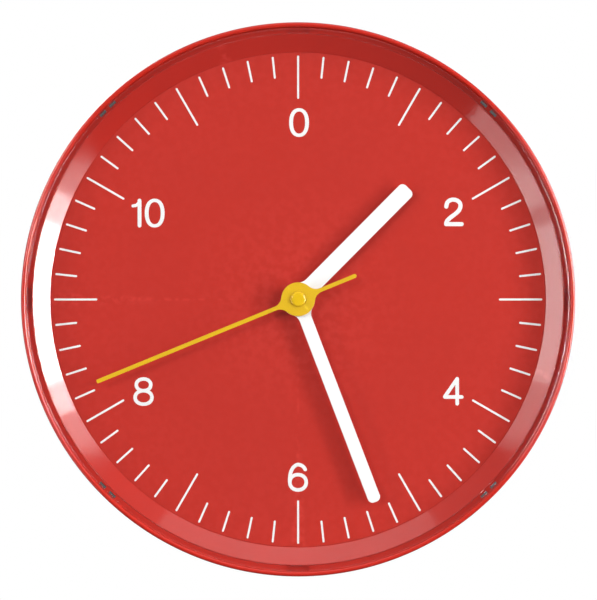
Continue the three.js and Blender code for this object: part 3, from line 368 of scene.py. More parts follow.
def shader_group(name, inputs, outputs):
    """A shader node group with named inputs and outputs."""
    group = bpy.data.node_groups.new(name, "ShaderNodeTree")
    for label, default in inputs.items():
        kind = "NodeSocketColor" if isinstance(default, tuple) else "NodeSocketFloat"
        group.interface.new_socket(name=label, in_out="INPUT", socket_type=kind).default_value = default
    for label, kind in outputs.items():
        group.interface.new_socket(name=label, in_out="OUTPUT", socket_type=kind)
    return group, group.nodes.new("NodeGroupInput"), group.nodes.new("NodeGroupOutput")


# Moulded skin: slow flow marks in the colour and gloss, and the fine peel of the mould in the height.
moulded_skin, skin_in, skin_out = shader_group(
    "Moulded skin",
    {
        "Colour": (0.5, 0.5, 0.5, 1), "Flow colour": (0.5, 0.5, 0.5, 1), "Flow scale": 20.0,
        "Peel scale": 900.0, "Low roughness": 0.2, "High roughness": 0.3,
    },
    {"Colour": "NodeSocketColor", "Roughness": "NodeSocketFloat", "Height": "NodeSocketFloat"},
)
own_place = put(moulded_skin, "ShaderNodeTexCoord")
flow = put(
    moulded_skin, "ShaderNodeTexNoise", Vector=own_place.outputs["Object"],
    Scale=skin_in.outputs["Flow scale"], Detail=3.0, Roughness=0.55, Distortion=0.4,
)
peel = put(
    moulded_skin, "ShaderNodeTexNoise", Vector=own_place.outputs["Object"],
    Scale=skin_in.outputs["Peel scale"], Detail=2.0, Roughness=0.5,
)
flow_share = put(moulded_skin, "ShaderNodeMapRange", Value=flow.outputs[0], From_Min=0.35, From_Max=0.68)
flow_colour = put(
    moulded_skin, "ShaderNodeMix", {"data_type": "RGBA"}, i0=flow_share.outputs[0],
    i6=skin_in.outputs["Colour"], i7=skin_in.outputs["Flow colour"],
)
gloss = put(
    moulded_skin, "ShaderNodeMapRange", Value=flow.outputs[0], From_Min=0.3, From_Max=0.7,
    To_Min=skin_in.outputs["Low roughness"], To_Max=skin_in.outputs["High roughness"],
)
moulded_skin.links.new(flow_colour.outputs[2], skin_out.inputs["Colour"])
moulded_skin.links.new(gloss.outputs[0], skin_out.inputs["Roughness"])
moulded_skin.links.new(peel.outputs[0], skin_out.inputs["Height"])

# Handled edges: a mask of the corners that hands and packing rub, broken up by a fine noise.
handled_edges, edges_in, edges_out = shader_group(
    "Handled edges", {"Start": 0.52, "End": 0.62, "Breakup scale": 300.0}, {"Mask": "NodeSocketFloat"}
)
bend = put(handled_edges, "ShaderNodeNewGeometry")
rubbed = put(
    handled_edges, "ShaderNodeMapRange", Value=bend.outputs["Pointiness"],
    From_Min=edges_in.outputs["Start"], From_Max=edges_in.outputs["End"],
)
scuffs = put(
    handled_edges, "ShaderNodeTexNoise", Vector=put(handled_edges, "ShaderNodeTexCoord").outputs["Object"],
    Scale=edges_in.outputs["Breakup scale"], Detail=2.0,
)
broken = put(handled_edges, "ShaderNodeMapRange", Value=scuffs.outputs[0], From_Min=0.4, From_Max=0.62)
handled_edges.links.new(
    math_node(handled_edges, "MULTIPLY", rubbed.outputs[0], broken.outputs[0]), edges_out.inputs["Mask"]
)

# Settled dust: a mask that lies on faces turned upwards, in soft patches.
settled_dust, dust_in, dust_out = shader_group(
    "Settled dust", {"Amount": 0.15, "Patch scale": 60.0}, {"Mask": "NodeSocketFloat"}
)
level = put(
    settled_dust, "ShaderNodeSeparateXYZ",
    i0=put(settled_dust, "ShaderNodeNewGeometry").outputs["Normal"],
)
lying = put(settled_dust, "ShaderNodeMapRange", Value=level.outputs["Z"], From_Min=0.35, From_Max=0.95)
patches = put(
    settled_dust, "ShaderNodeTexNoise", Vector=put(settled_dust, "ShaderNodeTexCoord").outputs["Object"],
    Scale=dust_in.outputs["Patch scale"], Detail=4.0, Roughness=0.65,
)
grains = math_node(settled_dust, "MULTIPLY", lying.outputs[0], patches.outputs[0])
settled_dust.links.new(
    math_node(settled_dust, "MULTIPLY", grains, dust_in.outputs["Amount"]), dust_out.inputs["Mask"]
)


def feed(tree, shader, colour, roughness, height, strength, distance):
    """Links colour, roughness and a bump to a shader."""
    relief = put(tree, "ShaderNodeBump", Strength=strength, Distance=distance, Height=height)
    tree.links.new(colour, shader.inputs["Base Color"])
    tree.links.new(roughness, shader.inputs["Roughness"])
    tree.links.new(relief.outputs[0], shader.inputs["Normal"])


def finish(
    name, colour, flow_tint, low, high, flow=20.0, peel=900.0, bump=0.02, wear=None, dust=0.1, **sockets
):
    """A moulded or painted finish: skin, rubbed edges and dust into one Principled shader."""
    material, tree, shader = new_material(name)
    skin = put(tree, "ShaderNodeGroup", {"node_tree": moulded_skin})
    for label, value in zip(
        ("Colour", "Flow colour", "Flow scale", "Peel scale", "Low roughness", "High roughness"),
        ((*colour, 1), (*flow_tint, 1), flow, peel, low, high),
    ):
        skin.inputs[label].default_value = value
    edges = put(tree, "ShaderNodeGroup", {"node_tree": handled_edges})
    dusting = put(tree, "ShaderNodeGroup", {"node_tree": settled_dust}, Amount=dust)
    worn = put(
        tree, "ShaderNodeMix", {"data_type": "RGBA"}, i0=edges.outputs["Mask"],
        i6=skin.outputs["Colour"], i7=(*(wear or [min(1.0, 1.12 * c + 0.01) for c in colour]), 1),
    )
    dusted = put(
        tree, "ShaderNodeMix", {"data_type": "RGBA"}, i0=dusting.outputs["Mask"],
        i6=worn.outputs[2], i7=(0.55, 0.52, 0.48, 1),
    )
    rough = math_node(tree, "ADD", skin.outputs["Roughness"], dusting.outputs["Mask"])
    feed(tree, shader, dusted.outputs[2], rough, skin.outputs["Height"], bump, 0.2 * MM)
    for label, value in sockets.items():
        shader.inputs[label.replace("_", " ")].default_value = value
    return material


case_red = finish(
    "case_red", (0.50, 0.020, 0.011), (0.47, 0.018, 0.010), 0.07, 0.09, flow=14, peel=1400, bump=0.008,
    dust=0.05, IOR=1.55,
)

# Radii and depths of the profiles are in millimetres, depths from the front edge of the case.
nose = 1.15
outer = case_radius / MM
lens_low, lens_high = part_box("lens")
dial_low, dial_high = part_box("dial")
ledge = 5.5
lip_inner = lens_high[0] / MM + 0.3
slope_foot = dial_high[0] / MM + 0.3
slope_rise, slope_run = 5.5, 8.3
slope_top = slope_foot + slope_run
dial_front = (dial_low[1] - case_front) / MM
floor_front = (dial_high[1] - case_front) / MM + 0.3
floor_back = floor_front + 2.0
ledge_back = ledge + 2.0
total_depth = (case_back - case_front) / MM
slope_skin = Vector((slope_rise, slope_run)).normalized() * 2.0
floor_bore, flat_middle = 4.3, 60.0
ring_rib_radius, ring_rib_width, rib_height, rib_rooted = 52.0, 1.6, 3.5, 0.5
rib_back, rib_front = floor_back + rib_height, floor_back - rib_rooted
clip_spread = 3.2


def slope_back(at):
    """Radius of the hidden side of the slope at a depth, in millimetres."""
    return slope_foot + slope_skin.x + (dial_front + slope_skin.y - at) / slope_rise * slope_run


case_profile = [
    (floor_bore, floor_front), (flat_middle, floor_front), (slope_foot, floor_front),
    (slope_foot, dial_front + 0.1), (slope_foot + 0.05, dial_front),
    *[(slope_foot + slope_run * t, dial_front - slope_rise * t) for t in (0.01, 0.02, 0.5, 0.98, 0.99)],
    (slope_top + 0.1, ledge), (lip_inner - 0.4, ledge),
    *arc(lip_inner - 0.4, ledge - 0.4, 0.4, 90, 0, 4),
    *arc(lip_inner + nose, nose, nose, 180, 360, 18),
    (outer, 8.0), (outer, 16.0), (outer, 24.0),
    *arc(outer - 0.5, total_depth - 0.5, 0.5, 0, 90, 4),
    *arc(lip_inner + 0.3, total_depth - 0.3, 0.3, 90, 180, 3),
    (lip_inner, 24.0), (lip_inner, 14.0),
    *arc(lip_inner - 0.5, ledge_back + 0.5, 0.5, 0, -90, 4),
    (slope_back(ledge_back), ledge_back), (slope_back(floor_back), floor_back), (flat_middle, floor_back),
    (floor_bore, floor_back), (floor_bore, floor_front),
]
shell = turned([(r * MM, depth(d)) for r, d in case_profile], case_red, 360)

windows = [
    box_mesh(
        (128.15 * MM, depth(ledge - 0.3), (side * clip_spread - 1.9) * MM),
        ((lip_inner + 0.3) * MM, depth(ledge_back + 0.3), (side * clip_spread + 1.9) * MM),
    )
    for side in (-1, 1)
]
pocket = box_mesh((127.5 * MM, depth(ledge - 0.3), -5.2 * MM), (129.6 * MM, depth(ledge + 1.0), 5.2 * MM))
shell = combined(
    shell, [round_axis(joined(windows), 4, 45, case_red), round_axis(pocket, 4, 0, case_red)], "DIFFERENCE"
)

rib_side = [
    (ring_rib_radius, rib_front), (slope_back(floor_back), rib_front),
    (slope_back(ledge_back), ledge_back - 0.5), (lip_inner + 0.5, ledge_back - 0.5),
    (lip_inner + 0.5, rib_back), (ring_rib_radius, rib_back),
]


def soften_rib(shape):
    """Rounds the edges of a rib's free side."""
    top_edges = [e for e in shape.edges if all(v.co.y > depth(rib_back - 0.1) for v in e.verts)]
    bmesh.ops.bevel(shape, geom=top_edges, offset=0.3 * MM, segments=3, profile=0.5, affect="EDGES")


ribs = round_axis(extruded(rib_side, -0.8, 0.8, soften_rib), 8, 22.5, case_red)
ring_rib_outer = ring_rib_radius + ring_rib_width
ring_rib = turned(
    [
        (r * MM, depth(d)) for r, d in [
            (ring_rib_radius, rib_front), (ring_rib_radius, rib_back - 0.2),
            (ring_rib_radius + 0.2, rib_back), (ring_rib_outer - 0.2, rib_back),
            (ring_rib_outer, rib_back - 0.2), (ring_rib_outer, rib_front), (ring_rib_radius, rib_front),
        ]
    ],
    case_red, 180,
)


def rounded_rectangle(left, right, bottom, top, corner, steps=8):
    """Outline points, counter-clockwise as seen from the front."""
    points = []
    for x, z, start in (
        (right - corner, top - corner, 0), (left + corner, top - corner, 90),
        (left + corner, bottom + corner, 180), (right - corner, bottom + corner, 270),
    ):
        for i in range(steps + 1):
            a = math.radians(start + 90 * i / steps)
            points.append((x + corner * math.cos(a), z + corner * math.sin(a)))
    return points


def circle(radius, x=0.0, z=0.0, steps=48):
    """Outline points of a round hole or disc, counter-clockwise."""
    angles = [2 * math.pi * i / steps for i in range(steps)]
    return [(x + radius * math.cos(a), z + radius * math.sin(a)) for a in angles]


def inset(loop, distance):
    """A closed outline moved to its left by a distance, corner by corner."""
    moved = []
    for i, (x, z) in enumerate(loop):
        (ax, az), (bx, bz) = loop[i - 1], loop[(i + 1) % len(loop)]
        first = Vector((z - az, ax - x)).normalized()
        second = Vector((bz - z, x - bx)).normalized()
        out = (first + second).normalized()
        reach = distance / max(0.35, out.dot(first))
        moved.append((x - out.x * reach, z - out.y * reach))
    return moved


def slab(loops, front, back, edge):
    """A flat part from outlines in metres, the outer one first and counter-clockwise, the holes
    clockwise. Its front and back edges are rounded by edge."""
    shape = bmesh.new()
    levels = [
        (front, 1.8 * edge), (front, edge), (front + 0.3 * edge, 0.3 * edge), (front + edge, 0.0),
        (back - edge, 0.0), (back - 0.3 * edge, 0.3 * edge), (back, edge), (back, 1.8 * edge),
    ]
    rows = [
        [[shape.verts.new((x, y, z)) for x, z in inset(loop, by)] for loop in loops] for y, by in levels
    ]
    for low_row, high_row in zip(rows, rows[1:]):
        for low_loop, high_loop in zip(low_row, high_row):
            for i in range(len(low_loop)):
                shape.faces.new((low_loop[i - 1], low_loop[i], high_loop[i], high_loop[i - 1]))
    for end in (rows[0], rows[-1]):
        rim = [shape.edges.get((loop[i - 1], loop[i])) for loop in end for i in range(len(loop))]
        bmesh.ops.triangle_fill(shape, use_beauty=True, use_dissolve=False, edges=rim)
    bmesh.ops.recalc_face_normals(shape, faces=shape.faces)
    return baked(shape)


housing_low, housing_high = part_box("movement_housing")
frame_in, frame_out = [
    rounded_rectangle(
        housing_low[0] - gap * MM, housing_high[0] + gap * MM,
        housing_low[2] - gap * MM, housing_high[2] + gap * MM, corner * MM,
    )
    for gap, corner in ((0.3, 3.0), (1.9, 4.6))
]
movement_frame = slab([frame_out, frame_in[::-1]], depth(rib_front), depth(rib_back), 0.25 * MM)

screw_places = [
    [(a + b) / 2 for a, b in zip(*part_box(name))] for name in ("hanger_screw_left", "hanger_screw_right")
]
boss_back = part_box("hanger_plate")[0][1] - 0.3 * MM
bosses = [
    turned(
        [
            (1.6 * MM, depth(rib_front)), (3.9 * MM, depth(rib_front)),
            (3.75 * MM, depth(floor_back + 0.3)), (3.6 * MM, depth(floor_back + 1.0)),
            (3.6 * MM, boss_back - 0.3 * MM), (3.3 * MM, boss_back), (1.9 * MM, boss_back),
            (1.6 * MM, boss_back - 0.3 * MM), (1.6 * MM, depth(rib_front)),
        ],
        case_red, 48, (x, z),
    )
    for x, _, z in screw_places
]
ejector_mark = turned(
    [
        (0.0, depth(floor_back - 0.2)), (3.0 * MM, depth(floor_back - 0.2)),
        (3.0 * MM, depth(floor_back + 0.04)), (2.95 * MM, depth(floor_back + 0.07)),
        (0.0, depth(floor_back + 0.07)),
    ],
    case_red, 32, (84.0 * MM, 0.0),
)
marks = round_axis(ejector_mark, 8, 0, case_red)
piece(
    "case", joined([shell, ribs, ring_rib, movement_frame, *bosses, marks]), case_red, "case",
    ["case_shell"],
)


# ---------- Hanger and its screws ----------
# A stamped strip of zinc-plated steel with a keyhole for the wall screw. Two self-tapping pan-head
# screws with a cross recess hold it to the bosses of the case.


def plated(name, colour, low, high, lines=(1.0, 1.0, 1.0), scale=260.0, bump=0.05, metallic=1.0):
    """Bare or plated metal: drawn or brushed lines in the gloss and height, and clouding in the tint."""
    material, tree, shader = new_material(name)
    own = put(tree, "ShaderNodeTexCoord")
    drawn = put(tree, "ShaderNodeMapping", Vector=own.outputs["Object"])
    drawn.inputs["Scale"].default_value = lines
    grain = put(
        tree, "ShaderNodeTexNoise", Vector=drawn.outputs[0], Scale=scale, Detail=3.0, Roughness=0.6
    )
    clouds = put(tree, "ShaderNodeTexNoise", Vector=own.outputs["Object"], Scale=70.0, Detail=2.0)
    tint = put(
        tree, "ShaderNodeMix", {"data_type": "RGBA"}, i0=clouds.outputs[0],
        i6=(*colour, 1), i7=(*[0.8 * c for c in colour], 1),
    )
    edges = put(tree, "ShaderNodeGroup", {"node_tree": handled_edges})
    bright = put(
        tree, "ShaderNodeMix", {"data_type": "RGBA"}, i0=edges.outputs["Mask"],
        i6=tint.outputs[2], i7=(*[min(1.0, 1.2 * c) for c in colour], 1),
    )
    rough = put(tree, "ShaderNodeMapRange", Value=grain.outputs[0], To_Min=low, To_Max=high)
    feed(tree, shader, bright.outputs[2], rough.outputs[0], grain.outputs[0], bump, 0.1 * MM)
    shader.inputs["Metallic"].default_value = metallic
    return material


zinc = plated("zinc_plate", (0.62, 0.64, 0.66), 0.22, 0.5, (1.0, 1.0, 12.0))
hanger_low, hanger_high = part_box("hanger_plate")
hanger_z = (hanger_low[2] + hanger_high[2]) / 2
entry, slot_half, entry_radius = hanger_z - 5.0 * MM, 2.5 * MM, 5.0 * MM
lean = math.acos(slot_half / entry_radius)
slot_length = 10.0 * MM
keyhole = [
    (slot_half * math.cos(a), entry + slot_length + slot_half * math.sin(a))
    for a in [math.pi * i / 16 for i in range(17)]
]
keyhole += [
    (entry_radius * math.cos(a), entry + entry_radius * math.sin(a))
    for a in [math.pi - lean + (math.pi + 2 * lean) * i / 32 for i in range(33)]
]
hanger_holes = [circle(1.6 * MM, x, z, 32)[::-1] for x, _, z in screw_places]
hanger_outline = rounded_rectangle(hanger_low[0], hanger_high[0], hanger_low[2], hanger_high[2], 3.0 * MM)
hanger_loops = [hanger_outline, keyhole[::-1], *hanger_holes]
piece(
    "hanger", slab(hanger_loops, hanger_low[1], hanger_high[1], 0.12 * MM), zinc, "case",
    ["hanger_plate"],
)

screw_low, screw_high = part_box("hanger_screw_left")
head_front = hanger_high[1] + 0.3 * MM
head_radius = (screw_high[0] - screw_low[0]) / 2
shank_profile = [(0.0, screw_low[1]), (0.7 * MM, screw_low[1] + 0.9 * MM)]
thread_start = screw_low[1] + 1.4 * MM
while thread_start < hanger_low[1] - 0.4 * MM:
    shank_profile += [
        (radius * MM, thread_start + up * MM) for radius, up in ((0.95, 0.0), (1.3, 0.3), (0.95, 0.6))
    ]
    thread_start += 0.9 * MM
rim_top = head_front + 0.45 * MM
screw_profile = [
    *shank_profile, (1.2 * MM, hanger_low[1]), (1.2 * MM, head_front), (head_radius - 0.1 * MM, head_front),
    (head_radius, head_front + 0.1 * MM), (head_radius, rim_top),
    *[
        (head_radius * math.cos(a), rim_top + (screw_high[1] - rim_top) * math.sin(a))
        for a in [math.radians(12 * i) for i in range(1, 8)]
    ],
    (0.0, screw_high[1]),
]
screw = turned(screw_profile, zinc, 48)
recess_low, recess_high = screw_high[1] - 1.1 * MM, screw_high[1] + 0.5 * MM
for across, up in ((1.5 * MM, 0.32 * MM), (0.32 * MM, 1.5 * MM)):
    bar = box_mesh((-across, recess_low, -up), (across, recess_high, up))
    screw = combined(screw, [bar], "DIFFERENCE")

# Sets the same screw at each of a row of points and turns each by an angle of its own.
driving, driving_in, driving_out = geometry_tree(
    "Driven screws", {"Spacing": "float", "Height": "float", "Turn": "float", "Material": "material"}
)
screw_number = put(driving, "GeometryNodeInputIndex").outputs[0]
screw_side = math_node(driving, "SUBTRACT", screw_number, 0.5)
screw_spot = put(
    driving, "ShaderNodeCombineXYZ",
    X=math_node(driving, "MULTIPLY", screw_side, driving_in.outputs["Spacing"]),
    Z=driving_in.outputs["Height"],
)
screw_points = put(driving, "GeometryNodePoints", Count=2, Position=screw_spot.outputs[0])
screw_angle = math_node(
    driving, "MULTIPLY", math_node(driving, "ADD", screw_number, 0.4), driving_in.outputs["Turn"]
)
screw_turn = put(driving, "ShaderNodeCombineXYZ", Y=screw_angle)
driven = put(
    driving, "GeometryNodeInstanceOnPoints", Points=screw_points.outputs[0],
    Instance=driving_in.outputs["Geometry"], Rotation=screw_turn.outputs[0],
)
finish_tree(driving, driven.outputs[0], driving_in, driving_out)
screws = grown(
    screw, driving,
    {
        "Spacing": screw_places[1][0] - screw_places[0][0], "Height": screw_places[0][2], "Turn": 0.9,
        "Material": zinc,
    },
)
piece(
    "hanger_screws", screws, zinc, "case", ["hanger_screw_left", "hanger_screw_right"]
)


# ---------- Dial ----------
# A flat red disc with a matt screen print: sixty white marks, every fifth one longer, and the even
# hours in a rounded sans numeral. The ink stands a few hundredths of a millimetre proud.

dial_red = finish(
    "dial_red", (0.49, 0.015, 0.005), (0.475, 0.014, 0.005), 0.5, 0.56, flow=9, peel=2600, bump=0.04, dust=0.0,
    Specular_IOR_Level=0.25,
)
dial_radius, dial_edge = dial_high[0] + 0.26 * MM, 0.08 * MM
dial_bore, dial_middle = floor_bore * MM, flat_middle * MM
dial_profile = [
    (dial_bore, dial_low[1]), (dial_middle, dial_low[1]), (dial_radius - dial_edge, dial_low[1]),
    (dial_radius, dial_low[1] + dial_edge), (dial_radius, dial_high[1] - dial_edge),
    (dial_radius - dial_edge, dial_high[1]), (dial_middle, dial_high[1]), (dial_bore, dial_high[1]),
    (dial_bore, dial_low[1]),
]
piece("dial_disc", turned(dial_profile, dial_red, 360), dial_red, "case", ["dial"])

ink = finish(
    "white_ink", (0.86, 0.86, 0.85), (0.83, 0.83, 0.82), 0.4, 0.5, flow=60, peel=5000, bump=0.05, dust=0.0,
    wear=(0.86, 0.86, 0.85),
)

# A ring of round-ended marks in two lengths that share one outer radius.
marking, marking_in, marking_out = geometry_tree(
    "Minute marks",
    {
        "Count": "int", "Every": "int", "Width": "float", "Outer radius": "float", "Long": "float",
        "Short": "float", "Ink": "float", "Front": "float", "Material": "material",
    },
)
mark_points = put(marking, "GeometryNodePoints", Count=marking_in.outputs["Count"])
mark_number = put(marking, "GeometryNodeInputIndex").outputs[0]
mark_angle = math_node(
    marking, "MULTIPLY", mark_number, math_node(marking, "DIVIDE", 2 * math.pi, marking_in.outputs["Count"])
)
mark_turn = put(marking, "ShaderNodeCombineXYZ", Y=mark_angle)
is_short = math_node(
    marking, "GREATER_THAN", math_node(marking, "MODULO", mark_number, marking_in.outputs["Every"]), 0.5
)
end_radius = math_node(marking, "DIVIDE", marking_in.outputs["Width"], 2 * math.cos(math.radians(11.25)))
kinds = []
for label in ("Long", "Short"):
    length = marking_in.outputs[label]
    button = put(
        marking, "GeometryNodeMeshCylinder", {"fill_type": "NGON"}, Vertices=16, Radius=end_radius,
        Depth=marking_in.outputs["Ink"],
    )
    tipped = put(
        marking, "GeometryNodeTransform", Geometry=button.outputs["Mesh"],
        Rotation=(math.pi / 2, math.radians(11.25), 0.0),
    )
    spot = put(
        marking, "ShaderNodeSeparateXYZ", i0=put(marking, "GeometryNodeInputPosition").outputs[0]
    )
    half_run = math_node(
        marking, "DIVIDE", math_node(marking, "SUBTRACT", length, marking_in.outputs["Width"]), 2.0
    )
    stretch = math_node(marking, "MULTIPLY", math_node(marking, "SIGN", spot.outputs["Z"]), half_run)
    middle = math_node(
        marking, "SUBTRACT", marking_in.outputs["Outer radius"], math_node(marking, "DIVIDE", length, 2.0)
    )
    shift = put(
        marking, "ShaderNodeCombineXYZ", Y=marking_in.outputs["Front"],
        Z=math_node(marking, "ADD", stretch, middle),
    )
    bar = put(marking, "GeometryNodeSetPosition", Geometry=tipped.outputs[0], Offset=shift.outputs[0])
    chosen = is_short if label == "Short" else math_node(marking, "SUBTRACT", 1.0, is_short)
    kinds.append(
        put(
            marking, "GeometryNodeInstanceOnPoints", Points=mark_points.outputs[0], Selection=chosen,
            Instance=bar.outputs[0], Rotation=mark_turn.outputs[0],
        )
    )
all_marks = put(marking, "GeometryNodeJoinGeometry")
for kind in kinds:
    marking.links.new(kind.outputs[0], all_marks.inputs[0])
finish_tree(marking, all_marks.outputs[0], marking_in, marking_out)
minute_marks = grown(
    bpy.data.meshes.new("empty"), marking,
    {
        "Count": 60, "Every": 5, "Width": 0.96 * MM, "Outer radius": 117.05 * MM, "Long": 20.75 * MM,
        "Short": 10.5 * MM, "Ink": 0.06 * MM, "Front": dial_low[1], "Material": ink,
    },
)
piece("minute_marks", closed(minute_marks), ink, "case")


def smooth_path(points, steps=14):
    """A path through points, rounded by a Catmull-Rom spline."""
    path, last = [], len(points) - 1
    for i in range(last):
        a, b, c, d = [Vector(points[min(max(j, 0), last)]) for j in (i - 1, i, i + 1, i + 2)]
        for k in range(steps):
            t = k / steps
            square, cube = 2 * a - 5 * b + 4 * c - d, 3 * b - a - 3 * c + d
            path.append(0.5 * (2 * b + (c - a) * t + square * t * t + cube * t**3))
    return [*path, Vector(points[-1])]


def oval(x, z, half_width, half_height, power=2.0, steps=64):
    """A closed oval path; a power above two makes its sides flatter."""
    path = []
    for i in range(steps):
        a = 2 * math.pi * i / steps
        c, s = math.cos(a), math.sin(a)
        path.append(
            Vector((
                x + half_width * math.copysign(abs(c) ** (2 / power), c),
                z + half_height * math.copysign(abs(s) ** (2 / power), s),
            ))
        )
    return path


def brush(shape, path, place, width, height, is_closed=False, upright=None):
    """Adds one printed stroke with round ends. upright is the width where the stroke runs upright."""
    count = len(path)
    left, right = [], []
    for i, point in enumerate(path):
        if is_closed:
            run = path[(i + 1) % count] - path[i - 1]
        else:
            run = path[min(i + 1, count - 1)] - path[max(i - 1, 0)]
        run.normalize()
        half = (width + ((upright or width) - width) * run.y * run.y) / 2
        side = Vector((-run.y, run.x)) * half
        left.append(point + side)
        right.append(point - side)
    if is_closed:
        loops = [left, right]
    else:
        loop = list(left)
        for end, start_side in ((path[-1], left[-1] - path[-1]), (path[0], right[0] - path[0])):
            for k in range(1, 10):
                turn_by = Matrix.Rotation(-math.pi * k / 10, 2)
                loop.append(end + turn_by @ start_side)
            if end is path[-1]:
                loop += right[::-1]
        loops = [loop]
    back, front = dial_low[1] + 0.02 * MM, dial_low[1] - height * MM
    rows = [
        [
            [shape.verts.new(((place[0] + p.x) * MM, y, (place[1] + p.y) * MM)) for p in loop]
            for loop in loops
        ]
        for y in (front, back)
    ]
    for loop_front, loop_back in zip(*rows):
        for i in range(len(loop_front)):
            shape.faces.new((loop_front[i - 1], loop_front[i], loop_back[i], loop_back[i - 1]))
    for end in rows:
        if is_closed:
            for i in range(count):
                shape.faces.new((end[0][i - 1], end[0][i], end[1][i], end[1][i - 1]))
        else:
            rim = [shape.edges.get((end[0][i - 1], end[0][i])) for i in range(len(end[0]))]
            bmesh.ops.triangle_fill(shape, use_beauty=True, use_dissolve=False, edges=rim)


def straight(*points):
    """A path of straight runs, with points close together."""
    path = []
    for a, b in zip(points, points[1:]):
        path += [Vector(a).lerp(Vector(b), i / 6) for i in range(6)]
    return [*path, Vector(points[-1])]


STROKE = 1.74
# Strokes of one colour that cross stand at slightly different heights, so that no two faces coincide.
INK_FIRST, INK_SECOND, INK_THIRD = 0.03, 0.034, 0.038
TWO_AT, FOUR_AT, SIX_AT = (74.65, 42.0), (74.3, -43.95), (-0.15, -85.2)
EIGHT_AT, TEN_AT = (-74.1, -44.1), (-72.1, 41.45)
numerals = bmesh.new()


def draw_zero(x, z):
    """A numeral 0 about a point of the dial."""
    brush(numerals, oval(0, 0, 3.82, 6.1, 2.25), (x, z), 1.62, INK_FIRST, True, 1.86)


draw_zero(0.45, 84.9)
two = smooth_path(
    [(-3.60, 2.56), (-3.1, 4.45), (-1.85, 5.55), (-0.20, 5.89), (1.6, 5.45), (2.85, 4.4), (3.20, 3.02),
     (2.85, 1.45), (1.92, 0.1), (0.2, -1.35), (-1.6, -2.7), (-3.0, -4.05), (-3.66, -5.35)]
)
brush(numerals, two, TWO_AT, 2.0, INK_FIRST)
brush(numerals, straight((-3.66, -5.85), (3.75, -5.85)), TWO_AT, 2.0, INK_SECOND)
brush(numerals, straight((1.94, 5.94), (1.94, -6.0)), FOUR_AT, STROKE, INK_FIRST)
brush(numerals, straight((1.94, 5.94), (-3.97, -2.65)), FOUR_AT, STROKE, INK_SECOND)
brush(numerals, straight((-3.97, -2.78), (4.13, -2.78)), FOUR_AT, STROKE, INK_THIRD)
brush(numerals, oval(0.09, -2.41, 3.93, 3.66, 2.1), SIX_AT, STROKE, INK_FIRST, True)
six = smooth_path(
    [(-3.84, -2.6), (-3.88, -0.9), (-3.42, 2.19), (-2.3, 4.55), (-0.9, 5.75), (0.24, 6.07), (1.75, 5.65),
     (2.85, 4.85), (3.53, 3.75)]
)
brush(numerals, six, SIX_AT, STROKE, INK_SECOND)
brush(numerals, oval(0, 3.18, 3.44, 2.81, 2.1), EIGHT_AT, 1.7, INK_FIRST, True)
brush(numerals, oval(0, -2.85, 4.02, 3.22, 2.1), EIGHT_AT, 1.7, INK_SECOND, True)
brush(numerals, straight((-3.97, 6.0), (-3.97, -6.0)), TEN_AT, 1.85, INK_FIRST)
one_flag = smooth_path([(-3.97, 6.0), (-4.45, 4.75), (-5.6, 3.75), (-7.1, 3.42)])
brush(numerals, one_flag, TEN_AT, 1.5, INK_SECOND)
draw_zero(-68.8, 41.45)
bmesh.ops.recalc_face_normals(numerals, faces=numerals.faces)
piece("hour_numbers", baked(numerals), ink, "case")


# ---------- Bush, nut, washer and gasket ----------
# The movement hangs on a threaded brass bush through the dial and the floor, held by a brass nut and
# washer in front and a rubber gasket behind. They are turned or stamped parts and keep their CAD shape.

brass = plated("turned_brass", (0.78, 0.55, 0.20), 0.16, 0.34, (1.0, 30.0, 1.0), 220.0, 0.06)
rubber = finish(
    "gasket_rubber", (0.02, 0.02, 0.021), (0.03, 0.03, 0.03), 0.75, 0.9, flow=120, peel=2500, bump=0.3, dust=0.2
)


def paint(material, *names):
    """Gives CAD nodes that keep their shape a finish."""
    for name in names:
        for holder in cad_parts[name].material_slots:
            holder.material = material


paint(brass, "threaded_bush", "hex_nut", "nut_washer", "cannon_pinion")
paint(rubber, "rubber_gasket")


# ---------- Hands ----------
# Broad white hour and minute hands of stamped aluminium with rounded corners, and a slim moulded yellow
# second hand with a counterweight tail and a button. Each is a bar faired into a round hub by fillets.

hub_radius, fairing = 8.1, 5.0


def hand_outline(half, reach, corner, tail, bore, degrees):
    """The outline and bore of a hand in metres, turned clockwise from twelve by degrees."""
    along = math.sqrt((hub_radius + fairing) ** 2 - (half + fairing) ** 2)
    across = half + fairing
    lean_back = math.degrees(math.atan2(along, across))

    def bow(x, z, radius, start, end, steps=10):
        return [
            (x + radius * math.cos(math.radians(start + (end - start) * i / steps)),
             z + radius * math.sin(math.radians(start + (end - start) * i / steps)))
            for i in range(steps + 1)
        ]

    points = bow(across, along, fairing, 180 + lean_back, 180)
    points += bow(half - corner, reach - corner, corner, 0, 90)
    points += bow(corner - half, reach - corner, corner, 90, 180)
    points += bow(-across, along, fairing, 0, -lean_back)
    if tail:
        points += bow(0, 0, hub_radius, 180 - lean_back, 180 + lean_back, 20)[1:-1]
        points += bow(-across, -along, fairing, lean_back, 0)
        points += bow(0, half - tail, half, 180, 360, 14)
        points += bow(across, -along, fairing, 180, 180 - lean_back)
        points += bow(0, 0, hub_radius, -lean_back, lean_back, 20)[1:-1]
    else:
        points += bow(0, 0, hub_radius, 180 - lean_back, 360 + lean_back, 60)[1:-1]
    turned_by = math.radians(degrees)
    c, s = math.cos(turned_by), math.sin(turned_by)
    outline = [((x * c + z * s) * MM, (z * c - x * s) * MM) for x, z in points]
    return [outline, circle(bore * MM)[::-1]]


